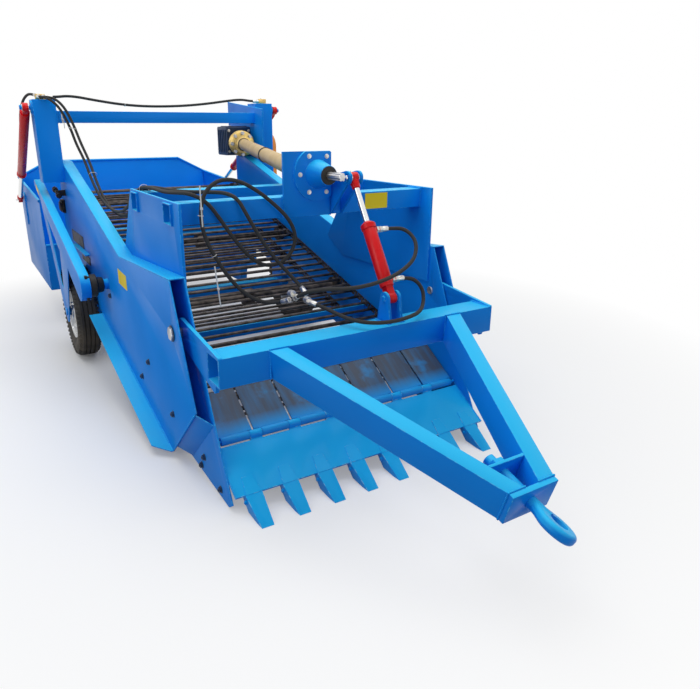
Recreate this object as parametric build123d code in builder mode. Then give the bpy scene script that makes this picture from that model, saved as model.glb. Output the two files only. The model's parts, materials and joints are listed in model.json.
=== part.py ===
from build123d import *
from math import atan2, cos, hypot, pi, radians, sin, tan
import os

# A towed stone picker. X runs to the machine's left, Y to its rear, Z up from the floor.
# A point of a side view is (station, height): the station is measured behind the line of the tine tips.
os.makedirs("parts", exist_ok=True)

TIP_Y = -1775.0
SIDES = (("left", 1), ("right", -1))

# Running clearances
PIN_FIT = 0.05
SEAT_GAP = 0.3
MOVING_GAP = 6.0

# Side walls: an inner and an outer plate with a cap strip, open at the front where the drawbar enters
PLATE = 6.0
WALL_IN = 648.0
WALL_GAP = 58.0
WALL_NOSE_LOW = (190.0, 4.0)
WALL_NOSE_HIGH = (150.0, 34.0)
WALL_GUSSET = (330.0, 375.0)
GUSSET_LEAD = 60.0
GUSSET_SPAN = (0.05, 0.86)
WALL_FRONT_TOP = (550.0, 875.0)
WALL_KINK = (1410.0, 820.0)
WALL_SLOPE_TOP = (2880.0, 1225.0)
WALL_REAR = 3060.0
WALL_FOOT = (700.0, 30.0)
WALL_FOOT_REAR_Z = 596.0
NOSE_ROUND = 16.0
FLANGE_WIDE = 80.0
FLANGE_REAR = 2030.0
FLANGE_CHAMFER = 70.0

# Head frame: two plates and two cross tubes over the front of the web
HEAD_PLATE = 12.0
HEAD_FRONT = 575.0
HEAD_LOW = 690.0
HEAD_TOP = 1165.0
HEAD_TOP_REAR = 1320.0
HEAD_FOOT_REAR = (1580.0, 790.0)
HEAD_LOW_REAR = 1400.0
HEAD_TUBE_DEEP = 100.0
HEAD_TUBE_HIGH = 90.0
HEAD_TUBE_WALL = 6.0
HEAD_TUBE_Z = 1110.0
HEAD_TUBE_PROUD = 10.0
HEAD_TUBE_FIRST = 710.0
HEAD_TUBE_SPACING = 520.0

# Drive line from the tractor's shaft to the gearbox
PTO_X = 22.0
PTO_Z = 1250.0
PTO_SHAFT = 35.0
PTO_STUB = 110.0
SPLINE_DEEP = 3.0
SPLINE_WIDE = 8.0
SPLINE_COUNT = 6
BEARING_LEFT = 92.0
BEARING_RIGHT = -146.0
BEARING_TOP = 1350.0
BEARING_PLATE = 12.0
BEARING_FLANGE = 236.0
BEARING_FLANGE_THICK = 14.0
BEARING_BOSS_BASE = 128.0
BEARING_BOSS_TIP = 84.0
BEARING_BOSS_LONG = 96.0
JOINT_STATION = 800.0
JOINT_BALL = 25.0
JOINT_CUP_SHARE = 0.4
YOKE = 78.0
YOKE_LONG = 80.0
INNER_SHAFT = 40.0
GUARD_TUBE = 84.0
GUARD_WALL = 4.0
GUARD_CONE = 160.0
GUARD_CONE_LONG = 120.0
GUARD_RING = 12.0
CLUTCH = 190.0
CLUTCH_LONG = 105.0
CLUTCH_HUB = 130.0
CLUTCH_HUB_LONG = 60.0

# Gearbox, its carrying plate and the chain guard on the machine's left
GEARBOX_STATION = 2985.0
GEARBOX_Z = 1330.0
GEARBOX_SIZE = (200.0, 200.0, 214.0)
GEARBOX_RISE = 12.0
GEARBOX_INPUT_IN = 92.0
GEARBOX_ROUND = 18.0
CARRIER = 12.0
CARRIER_FRONT = 2660.0
CARRIER_REAR = 3330.0
CARRIER_FRONT_RISE = 27.0
CARRIER_REAR_RISE = 95.0
CARRIER_DEEP = 271.0
CHAIN_GUARD_R = 105.0
CHAIN_GUARD_SHEET = 4.0
CHAIN_GUARD_GAP = 4.0
CHAIN_UPPER_Z = 1290.0

# Uprights and rear beam
UPRIGHT_WIDE = 140.0
UPRIGHT_DEEP = 150.0
UPRIGHT_FRONT = 2800.0
UPRIGHT_LOW = 1090.0
UPRIGHT_LONG = 530.0
UPRIGHT_WALL = 6.0
REAR_BEAM = 76.0
REAR_BEAM_DROP = 70.0
REAR_BEAM_WALL = 5.0

# Share: blade, tines and the row of hinged flaps
SHARE_ANGLE = 32.0
TINE_PITCH = 163.0
TINE_COUNT = 8
TINE_TIP = 53.0
TINE_ROOT = 73.0
TINE_NOSE = 6.0
TINE_BELLY = 52.0
TINE_BELLY_AT = 100.0
TINE_HEEL = 20.0
TINE_LONG = 210.0
BLADE_FRONT = 150.0
BLADE_THICK = 12.0
HINGE_LINE = 404.0
HINGE_OD = 36.0
HINGE_PIN = 12.0
HINGE_RISE = 3.0
FLAP_COUNT = 7
FLAP_REAR = 655.0
FLAP_THICK = 8.0
FLAP_GAP = 10.0
BLADE_KNUCKLE = 56.0
KNUCKLE_GAP = 1.5
KNUCKLE_TAB = 26.0

# Rod web, one loop round a front and a rear shaft
WEB_FRONT = (680.0, 245.0)
WEB_REAR = (3000.0, 910.0)
WEB_RADIUS = 92.0
WEB_SIDE_GAP = 26.0
WEB_HALF = WALL_IN - WEB_SIDE_GAP
WEB_CHAIN_WIDE = 30.0
WEB_CHAIN_THICK = 16.0
WEB_ROD = 16.0
WEB_ROD_COUNT = 72
SHAFT = 40.0
ROLLER_WIDE = 60.0
IDLER_SHARES = (0.33, 0.66)
IDLER_R = 50.0
CROSS_TUBE = 60.0
CROSS_TUBE_SHARES = (0.22, 0.78)

# Drawbar: cross tube with ears, two beams, end plate and eye
PIVOT = (560.0, 645.0)
PIVOT_PIN = 40.0
PIVOT_NUT_SHARE = 0.75
EAR_SIDE_GAP = 8.0
EAR = 16.0
EAR_R = 58.0
EAR_FRONT_TOP = (158.0, 652.0)
EAR_FRONT_LOW = (206.0, 510.0)
EAR_ROUND = 8.0
BAR_TUBE = 120.0
BAR_TUBE_WALL = 8.0
BAR_TUBE_FRONT = 150.0
BAR_TUBE_TOP = 655.0
BAR_SLOPE = 16.5
BAR_LONG = 900.0
BAR_HIGH = 116.0
BAR_WALL = 6.0
BAR_ROOT = (393.0, 471.0)
BAR_TIP = (32.0, 101.0)
BAR_END_PLATE = 20.0
BAR_STIFFENER = 12.0
BAR_STIFFENER_BACK = 120.0
BAR_STIFFENER_AT = BAR_LONG - BAR_STIFFENER_BACK
EYE_REACH = 124.9
EYE_ROLL = 32.0
EYE_BORE = 62.0
EYE_OD = 136.0
EYE_NECK = 78.0
EYE_THICK = 36.0
EYE_EDGE_SHARE = 0.4
EYE_SHANK = 44.0
EYE_NUT = 66.0
EYE_NUT_THICK = 30.0
EYE_SHANK_PROUD = 30.0

# Hydraulic cylinders
LIFT_X = 136.0
LIFT_LOWER = (215.0, 757.0)
LIFT_UPPER = (520.0, 1238.0)
CYLINDER_EYE_SHARE = 0.95
CYLINDER_NECK_SHARE = 1.5
LIFT_PIN = 25.0
LIFT_PIN_DRIFT = 5.0
LIFT_EYE_WIDE = 34.0
LIFT_BARREL_R = 30.0
LIFT_ROD_R = 13.0
LIFT_BARREL_START = 52.0
LIFT_ROD_SHOWN = 225.0
LIFT_ROD_START = 190.0
LIFT_PIN_PROUD = 7.0
CLEVIS = 12.0
LUG_SPREAD = 1.6
CLEVIS_R = 30.0
CLEVIS_TOP_SHARE = 0.3
CLEVIS_GAP = 6.0
TIP_UPPER_BACK = 50.0
TIP_UPPER_DROP = 50.0
TIP_LOWER = (4150.0, 860.0)
TIP_PIN = 30.0
TIP_EYE_WIDE = 34.0
TIP_SIDE_GAP = 12.0
TIP_PIN_PROUD = 18.0
TIP_LUG = 10.0
TIP_LUG_R = 55.0
TIP_LUG_ROOT_SHARE = 0.8
TIP_BARREL_R = 31.0
TIP_ROD_R = 17.5
TIP_BARREL_START = 58.0
TIP_BARREL_SHARE = 0.68
TIP_ROD_INSIDE = 560.0
BARREL_WALL = 6.0
GLAND_LONG = 40.0
PORT_R = 12.0
PORT_HIGH = 20.0
LIFT_PORTS = (80.0, 315.0)
TIP_PORT = 444.0

# Running gear
AXLE_STATION = 2380.0
AXLE_TUBE = 80.0
AXLE_TUBE_WALL = 8.0
AXLE_STUB = 50.0
AXLE_DROP_LONG = 160.0
AXLE_DROP_TOP = 520.0
TYRE_OD = 600.0
AXLE = (AXLE_STATION, TYRE_OD / 2)
TYRE_WIDE = 135.0
TYRE_TREAD = 96.0
TYRE_SHOULDER = 12.0
TYRE_SHOULDER_DROP = 16.2
TYRE_BULGE_RISE = 72.75
TYRE_DEEP = 135.0
RIM_R = TYRE_OD / 2 - TYRE_DEEP
RIM_FLANGE = 14.0
RIM_WIDE = 112.0
RIM_WALL = 6.0
HUB_SHARE = 0.35
HUB_R = RIM_R * HUB_SHARE
HUB_LONG = 110.0
WHEEL_DISC = 10.0
BRACKET_FRONT = (1760.0, 600.0)
BRACKET_FRONT_R = 80.0
BRACKET_REAR = (3150.0, 1066.0)
BRACKET_REAR_R = 24.0
BRACKET_LEG = (0.24, 0.84)
BRACKET_LEG_R = 30.0
BRACKET_FOOT_R = 70.0
BRACKET_CUT = ((0.40, 0.16), (0.74, 0.12), (0.60, 0.70), (0.45, 0.70))
BRACKET_STRIP = 46.0
BRACKET_BOSS = 60.0
BRACKET_TYRE_GAP = 11.0

# Hopper and the two arms that carry it
HOPPER_FRONT = 3200.0
HOPPER_REAR = 4450.0
HOPPER_OVERHANG = 142.0
HOPPER_FLOOR = 258.0
HOPPER_SIDE_FRONT_TOP = 930.0
HOPPER_SIDE_REAR_TOP = 1020.0
HOPPER_REAR_TOP = 1150.0
HOPPER_REAR_FLAT = 600.0
HOPPER_LIP = 600.0
HOPPER_PLATE = 5.0
HOPPER_PIVOT = (4290.0, 205.0)
HOPPER_PIN = 36.0
HOPPER_LUG = 12.0
HOPPER_LUG_R = 42.0
ARM_BEND_SHARE = 0.6
ARM_END_R = 45.0
ARM_ROOT_FRONT = 2620.0
ARM_ROOT_LOW = 515.0
ARM_ROOT_HIGH = 640.0
ARM_KNEE = 3098.0
ARM_HIGH = 90.0

# Hoses and the tees they meet in
HOSE_R = 8.5
HOSE_BEND_SHARE = 0.45
HOSE_LEAD = 62.0
TEE_X = 800.0
TEE_STATION = 2860.0
TEE_WIDE = 60.0
TEE_DEEP = 32.0
TEE_HIGH = 34.0

# Worked out from the sizes above
WALL_INNER_OUT = WALL_IN + PLATE
WALL_OUTER_IN = WALL_INNER_OUT + WALL_GAP
WALL_OUT = WALL_OUTER_IN + PLATE
HOPPER_HALF = WALL_OUT + HOPPER_OVERHANG
UPRIGHT_TOP = UPRIGHT_LOW + UPRIGHT_LONG
REAR_BEAM_TOP = UPRIGHT_TOP - REAR_BEAM_DROP
TIP_UPPER = (UPRIGHT_FRONT + TIP_UPPER_BACK, UPRIGHT_TOP - TIP_UPPER_DROP)
HEAD_TUBE_STATIONS = (HEAD_TUBE_FIRST, HEAD_TUBE_FIRST + HEAD_TUBE_SPACING)
UPRIGHT_OUT = WALL_OUT + UPRIGHT_WIDE
TYRE_MID = WALL_OUT + MOVING_GAP + TYRE_WIDE / 2
BRACKET_IN = TYRE_MID + TYRE_WIDE / 2 + BRACKET_TYRE_GAP
BRACKET_OUT = BRACKET_IN + PLATE
EAR_IN = WALL_INNER_OUT + EAR_SIDE_GAP
EAR_OUT = EAR_IN + EAR
TIP_X = HOPPER_HALF + TIP_LUG + TIP_SIDE_GAP + TIP_EYE_WIDE / 2
TIP_PIN_END = TIP_X + TIP_EYE_WIDE / 2 + TIP_PIN_PROUD


def y_at(station):
    """Y of a station."""
    return TIP_Y + station


def flat(points):
    """Side-view points (station, height) as (Y, Z) of a sketch on the YZ plane."""
    return [(y_at(station), height) for station, height in points]


def on_line(start, end, station):
    """Height at a station on the line through two side-view points."""
    share = (station - start[0]) / (end[0] - start[0])
    return start[1] + share * (end[1] - start[1])


def along(start, end, share):
    """Side-view point at a share of the way from start to end."""
    return (start[0] + share * (end[0] - start[0]), start[1] + share * (end[1] - start[1]))


def finish(piece, name):
    """Label a finished piece and write it."""
    piece.part.label = name
    export_step(piece.part, f"parts/{name}.step")


def hull_of(circles):
    """Fill the hull of side-view circles (station, height, radius) in the sketch that is open."""
    for station, height, radius in circles:
        with Locations((y_at(station), height)):
            Circle(radius)
    make_hull()


# Side walls
WALL_FOOT_REAR = (WALL_REAR, WALL_FOOT_REAR_Z)
WALL_REAR_TOP = (WALL_REAR, WALL_SLOPE_TOP[1])
wall_top = (WALL_FRONT_TOP, WALL_KINK, WALL_SLOPE_TOP, WALL_REAR_TOP)
wall_under_cap = [(station, height - PLATE) for station, height in wall_top]
for side, sign in SIDES:
    with BuildPart() as wall_inner:
        with BuildSketch(Plane.YZ.offset(sign * WALL_IN)):
            with BuildLine():
                Polyline(*flat([WALL_NOSE_LOW, WALL_FOOT, WALL_FOOT_REAR, *reversed(wall_under_cap),
                                WALL_GUSSET, WALL_NOSE_HIGH]), close=True)
            nose = make_face()
            fillet(nose.vertices().sort_by(Axis.Y)[:2], NOSE_ROUND)
            with Locations((y_at(PIVOT[0]), PIVOT[1])):
                Circle(PIVOT_PIN / 2 + PIN_FIT, mode=Mode.SUBTRACT)
        extrude(amount=sign * PLATE)
    finish(wall_inner, f"wall_inner_{side}")

    flange_rear = (FLANGE_REAR, on_line(WALL_FOOT, WALL_FOOT_REAR, FLANGE_REAR))
    with BuildPart() as wall_outer:
        with BuildSketch(Plane.YZ.offset(sign * WALL_OUTER_IN)):
            with BuildLine():
                outline = [WALL_FOOT, WALL_FOOT_REAR, *reversed(wall_under_cap), WALL_GUSSET]
                Polyline(*flat(outline), close=True)
            make_face()
            with Locations((y_at(PIVOT[0]), PIVOT[1])):
                Circle(PIVOT_PIN / 2 + PIN_FIT, mode=Mode.SUBTRACT)
        extrude(amount=sign * PLATE)
        with BuildSketch(Plane.YZ.offset(sign * WALL_OUT)):
            with BuildLine():
                Polyline(*flat([WALL_FOOT, flange_rear, (FLANGE_REAR, flange_rear[1] + PLATE),
                                (WALL_FOOT[0], WALL_FOOT[1] + PLATE)]), close=True)
            make_face()
        extrude(amount=sign * FLANGE_WIDE)
        with BuildSketch(Plane.XY):
            corner_x = sign * (WALL_OUT + FLANGE_WIDE)
            corner_y = y_at(WALL_FOOT[0])
            with BuildLine():
                Polyline((corner_x, corner_y), (corner_x - sign * FLANGE_CHAMFER, corner_y),
                         (corner_x, corner_y + FLANGE_CHAMFER), close=True)
            make_face()
        extrude(amount=WALL_FOOT_REAR_Z, mode=Mode.SUBTRACT)
    finish(wall_outer, f"wall_outer_{side}")

with BuildPart() as wall_caps:
    for side, sign in SIDES:
        with BuildSketch(Plane.YZ.offset(sign * WALL_IN)):
            with BuildLine():
                Polyline(*flat([*wall_top, *reversed(wall_under_cap)]), close=True)
            make_face()
        extrude(amount=sign * (WALL_OUT - WALL_IN))
finish(wall_caps, "wall_caps")

gusset_long = hypot(WALL_FOOT[0] - WALL_GUSSET[0], WALL_FOOT[1] - WALL_GUSSET[1])
gusset_ahead = ((WALL_FOOT[1] - WALL_GUSSET[1]) / gusset_long, -(WALL_FOOT[0] - WALL_GUSSET[0]) / gusset_long)
with BuildPart() as wall_gussets:
    for side, sign in SIDES:
        for x, lead in ((WALL_INNER_OUT, GUSSET_LEAD), (WALL_OUTER_IN, 0.0)):
            corners = []
            high, low = GUSSET_SPAN
            for share, depth in ((high, 0.0), (low, 0.0), (low, PLATE), (high, PLATE)):
                station, height = along(WALL_GUSSET, WALL_FOOT, share)
                reach = lead - depth
                corners.append((station + reach * gusset_ahead[0], height + reach * gusset_ahead[1]))
            with BuildSketch(Plane.YZ.offset(sign * x)):
                with BuildLine():
                    Polyline(*flat(corners), close=True)
                make_face()
        loft(ruled=True)
finish(wall_gussets, "wall_gussets")

# Pins that carry the drawbar, one through each wall
with BuildPart() as pivot_pins:
    for side, sign in SIDES:
        with BuildSketch(Plane.YZ.offset(sign * (WALL_IN - PLATE))):
            with Locations((y_at(PIVOT[0]), PIVOT[1])):
                Circle(PIVOT_PIN / 2)
        extrude(amount=sign * (WALL_OUT + PLATE - WALL_IN + PLATE))
        with BuildSketch(Plane.YZ.offset(sign * (WALL_OUT + SEAT_GAP))):
            with Locations((y_at(PIVOT[0]), PIVOT[1])):
                RegularPolygon(PIVOT_PIN * PIVOT_NUT_SHARE, 6)
        extrude(amount=sign * PLATE * 2)
finish(pivot_pins, "pivot_pins")

# Head frame
head_tube_low = HEAD_TUBE_Z - HEAD_TUBE_HIGH / 2
head_tube_top = HEAD_TUBE_Z + HEAD_TUBE_HIGH / 2
head_tube_front = HEAD_TUBE_STATIONS[0] - HEAD_TUBE_DEEP / 2
with BuildPart() as head_plates:
    for side, sign in SIDES:
        with BuildSketch(Plane.YZ.offset(sign * WALL_IN)):
            with BuildLine():
                Polyline(*flat([(HEAD_FRONT, HEAD_LOW), (HEAD_FRONT, HEAD_TOP), (HEAD_TOP_REAR, HEAD_TOP),
                                HEAD_FOOT_REAR, (HEAD_LOW_REAR, HEAD_LOW)]), close=True)
            make_face()
            with Locations(*flat([(station, HEAD_TUBE_Z) for station in HEAD_TUBE_STATIONS])):
                Rectangle(HEAD_TUBE_DEEP + 2 * SEAT_GAP, HEAD_TUBE_HIGH + 2 * SEAT_GAP, mode=Mode.SUBTRACT)
        extrude(amount=-sign * HEAD_PLATE)
finish(head_plates, "head_plates")

with BuildPart() as head_tubes:
    half_long = WALL_IN + HEAD_TUBE_PROUD
    with BuildSketch(Plane.YZ.offset(-half_long)):
        with Locations(*flat([(station, HEAD_TUBE_Z) for station in HEAD_TUBE_STATIONS])):
            Rectangle(HEAD_TUBE_DEEP, HEAD_TUBE_HIGH)
            Rectangle(HEAD_TUBE_DEEP - 2 * HEAD_TUBE_WALL, HEAD_TUBE_HIGH - 2 * HEAD_TUBE_WALL,
                      mode=Mode.SUBTRACT)
    extrude(amount=2 * half_long)
finish(head_tubes, "head_tubes")

# Bearing plate on the front head tube, with its round flange, cut off at the plate's edge, and coned boss
boss_front = head_tube_front - BEARING_PLATE - BEARING_FLANGE_THICK - BEARING_BOSS_LONG
bearing_middle = ((BEARING_LEFT + BEARING_RIGHT) / 2, (head_tube_low + BEARING_TOP) / 2)
bearing_size = (BEARING_LEFT - BEARING_RIGHT, BEARING_TOP - head_tube_low)
with BuildPart() as bearing_plate:
    with BuildSketch(Plane.XZ.offset(-y_at(head_tube_front))):
        with Locations(bearing_middle):
            Rectangle(*bearing_size)
    extrude(amount=BEARING_PLATE)
    with BuildSketch(Plane.XZ.offset(-y_at(head_tube_front - BEARING_PLATE))):
        with Locations((PTO_X, PTO_Z)):
            Circle(BEARING_FLANGE / 2)
        with Locations(bearing_middle):
            Rectangle(*bearing_size, mode=Mode.INTERSECT)
    extrude(amount=BEARING_FLANGE_THICK)
    with BuildSketch(Plane.XZ.offset(-y_at(head_tube_front - BEARING_PLATE - BEARING_FLANGE_THICK))):
        with Locations((PTO_X, PTO_Z)):
            Circle(BEARING_BOSS_BASE / 2)
    with BuildSketch(Plane.XZ.offset(-y_at(boss_front))):
        with Locations((PTO_X, PTO_Z)):
            Circle(BEARING_BOSS_TIP / 2)
    loft()
    with BuildSketch(Plane.XZ.offset(-y_at(head_tube_front))):
        with Locations((PTO_X, PTO_Z)):
            Circle(PTO_SHAFT / 2 + PIN_FIT)
    extrude(amount=head_tube_front - boss_front, mode=Mode.SUBTRACT)
finish(bearing_plate, "bearing_plate")

# Input shaft: splined stub in front, ball of the universal joint behind
with BuildPart() as pto_stub:
    with BuildSketch(Plane.XZ.offset(-y_at(JOINT_STATION))):
        with Locations((PTO_X, PTO_Z)):
            Circle(PTO_SHAFT / 2)
    extrude(amount=JOINT_STATION - boss_front)
    with BuildSketch(Plane.XZ.offset(-y_at(boss_front))):
        with Locations((PTO_X, PTO_Z)):
            Circle(PTO_SHAFT / 2 - SPLINE_DEEP)
            with PolarLocations(PTO_SHAFT / 2 - SPLINE_DEEP, SPLINE_COUNT):
                Rectangle(2 * SPLINE_DEEP, SPLINE_WIDE)
    extrude(amount=PTO_STUB)
    with Locations((PTO_X, y_at(JOINT_STATION), PTO_Z)):
        Sphere(JOINT_BALL)
finish(pto_stub, "pto_stub")

# Telescopic shaft with its overload clutch, and the tube guard that rides on it
CARRIER_IN = WALL_OUT - CARRIER
gearbox_x = CARRIER_IN - GEARBOX_SIZE[0] / 2
gearbox_front = GEARBOX_STATION - GEARBOX_SIZE[1] / 2
joint_point = Vector(PTO_X, y_at(JOINT_STATION), PTO_Z)
input_point = Vector(CARRIER_IN - GEARBOX_INPUT_IN, y_at(gearbox_front), GEARBOX_Z)
line_vector = input_point - joint_point
line_long = line_vector.length
line_plane = Plane(origin=joint_point, x_dir=(1, 0, 0), z_dir=line_vector.normalized())
clutch_end = line_long - CLUTCH / 2 * abs(line_vector.X) / line_long - 2 * MOVING_GAP
clutch_front = clutch_end - CLUTCH_LONG
hub_front = clutch_front - CLUTCH_HUB_LONG
yoke_start = JOINT_BALL * JOINT_CUP_SHARE
with BuildPart() as driveline:
    with BuildSketch(line_plane.offset(yoke_start)):
        Circle(YOKE / 2)
    extrude(amount=YOKE_LONG)
    with BuildSketch(line_plane.offset(yoke_start + YOKE_LONG)):
        Circle(INNER_SHAFT / 2)
    extrude(amount=hub_front - yoke_start - YOKE_LONG)
    with BuildSketch(line_plane.offset(hub_front)):
        Circle(CLUTCH_HUB / 2)
    extrude(amount=CLUTCH_HUB_LONG)
    with BuildSketch(line_plane.offset(clutch_front)):
        Circle(CLUTCH / 2)
    extrude(amount=CLUTCH_LONG)
    with Locations(joint_point):
        Sphere(JOINT_BALL + SEAT_GAP, mode=Mode.SUBTRACT)
    with BuildSketch(line_plane.offset(clutch_front)):
        Circle(PTO_SHAFT / 2 + PIN_FIT)
    extrude(amount=CLUTCH_LONG, mode=Mode.SUBTRACT)
finish(driveline, "driveline")

guard_start = yoke_start + YOKE_LONG + MOVING_GAP - GUARD_CONE_LONG / 2
guard_end = hub_front - MOVING_GAP
with BuildPart() as driveline_guard:
    with BuildSketch(line_plane.offset(guard_start)):
        Circle(GUARD_CONE / 2)
        Circle(GUARD_CONE / 2 - GUARD_WALL, mode=Mode.SUBTRACT)
    with BuildSketch(line_plane.offset(guard_start + GUARD_CONE_LONG)):
        Circle(GUARD_TUBE / 2)
        Circle(GUARD_TUBE / 2 - GUARD_WALL, mode=Mode.SUBTRACT)
    loft()
    with BuildSketch(line_plane.offset(guard_start + GUARD_CONE_LONG)):
        Circle(GUARD_TUBE / 2)
        Circle(GUARD_TUBE / 2 - GUARD_WALL, mode=Mode.SUBTRACT)
    extrude(amount=guard_end - guard_start - GUARD_CONE_LONG)
    for ring_at in (guard_start + GUARD_CONE_LONG, guard_end - GUARD_RING):
        with BuildSketch(line_plane.offset(ring_at)):
            Circle(GUARD_TUBE / 2)
            Circle(INNER_SHAFT / 2 + PIN_FIT, mode=Mode.SUBTRACT)
        extrude(amount=GUARD_RING)
finish(driveline_guard, "driveline_guard")

# Gearbox on its carrier plate
with BuildPart() as gearbox:
    with Locations((gearbox_x, y_at(GEARBOX_STATION), GEARBOX_Z + GEARBOX_RISE)):
        Box(*GEARBOX_SIZE)
    fillet(gearbox.edges().filter_by(Axis.X), GEARBOX_ROUND)
    with BuildSketch(line_plane.offset(line_long + GEARBOX_ROUND)):
        Circle(PTO_SHAFT / 2)
    extrude(amount=-(line_long - clutch_front + GEARBOX_ROUND) + CLUTCH_LONG / 2)
finish(gearbox, "gearbox")

with BuildPart() as gearbox_carrier:
    with BuildSketch(Plane.YZ.offset(CARRIER_IN)):
        with BuildLine():
            front_top = REAR_BEAM_TOP + CARRIER_FRONT_RISE
            rear_top = REAR_BEAM_TOP + CARRIER_REAR_RISE
            Polyline(*flat([WALL_SLOPE_TOP, (CARRIER_FRONT, front_top - CARRIER_DEEP),
                            (CARRIER_FRONT, front_top), (CARRIER_REAR, rear_top),
                            (CARRIER_REAR, rear_top - CARRIER_DEEP), WALL_REAR_TOP]),
                     close=True)
        make_face()
    extrude(amount=CARRIER)
finish(gearbox_carrier, "gearbox_carrier")

# Chain guard outside the left upright, with its stand-off and the two shaft ends behind it
guard_in = BRACKET_OUT + CHAIN_GUARD_GAP
with BuildPart() as chain_guard:
    with BuildSketch(Plane.YZ.offset(guard_in)):
        hull_of([(*WEB_REAR, CHAIN_GUARD_R), (WEB_REAR[0], CHAIN_UPPER_Z, CHAIN_GUARD_R)])
    extrude(amount=TIP_PIN_END - guard_in)
    with BuildSketch(Plane.YZ.offset(guard_in + CHAIN_GUARD_SHEET)):
        inside = CHAIN_GUARD_R - CHAIN_GUARD_SHEET
        hull_of([(*WEB_REAR, inside), (WEB_REAR[0], CHAIN_UPPER_Z, inside)])
    extrude(amount=TIP_PIN_END - guard_in - 2 * CHAIN_GUARD_SHEET, mode=Mode.SUBTRACT)
    with BuildSketch(Plane.YZ.offset(WALL_OUT)):
        with Locations(*flat([WEB_REAR])):
            Circle(SHAFT / 2)
    extrude(amount=guard_in - WALL_OUT)
    with BuildSketch(Plane.YZ.offset(UPRIGHT_OUT)):
        with Locations((y_at(UPRIGHT_FRONT + UPRIGHT_DEEP - CROSS_TUBE / 2), CHAIN_UPPER_Z)):
            Rectangle(CROSS_TUBE, CROSS_TUBE * 2)
    extrude(amount=guard_in - UPRIGHT_OUT)
finish(chain_guard, "chain_guard")

# Uprights, each a capped box tube on the outside of its wall, with the lug of the tipping cylinder
with BuildPart() as uprights:
    for side, sign in SIDES:
        middle = (sign * (WALL_OUT + UPRIGHT_WIDE / 2), y_at(UPRIGHT_FRONT + UPRIGHT_DEEP / 2))
        with BuildSketch(Plane.XY.offset(UPRIGHT_LOW)):
            with Locations(middle):
                Rectangle(UPRIGHT_WIDE, UPRIGHT_DEEP)
                Rectangle(UPRIGHT_WIDE - 2 * UPRIGHT_WALL, UPRIGHT_DEEP - 2 * UPRIGHT_WALL,
                          mode=Mode.SUBTRACT)
        extrude(amount=UPRIGHT_TOP - UPRIGHT_LOW)
        with BuildSketch(Plane.XY.offset(UPRIGHT_TOP - UPRIGHT_WALL)):
            with Locations(middle):
                Rectangle(UPRIGHT_WIDE, UPRIGHT_DEEP)
        extrude(amount=UPRIGHT_WALL)
        with BuildSketch(Plane.YZ.offset(sign * UPRIGHT_OUT)):
            with Locations(*flat([TIP_UPPER])):
                Circle(TIP_LUG_R * TIP_LUG_ROOT_SHARE)
        extrude(amount=sign * TIP_LUG)
        with BuildSketch(Plane.YZ.offset(sign * UPRIGHT_OUT)):
            with Locations(*flat([TIP_UPPER])):
                Circle(TIP_PIN / 2)
        extrude(amount=sign * (TIP_PIN_END - UPRIGHT_OUT))
finish(uprights, "uprights")

with BuildPart() as rear_beam:
    with BuildSketch(Plane.YZ.offset(-WALL_OUT)):
        with Locations((y_at(UPRIGHT_FRONT + REAR_BEAM / 2), REAR_BEAM_TOP - REAR_BEAM / 2)):
            Rectangle(REAR_BEAM, REAR_BEAM)
            Rectangle(REAR_BEAM - 2 * REAR_BEAM_WALL, REAR_BEAM - 2 * REAR_BEAM_WALL, mode=Mode.SUBTRACT)
    extrude(amount=WALL_OUT + CARRIER_IN)
finish(rear_beam, "rear_beam")

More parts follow.
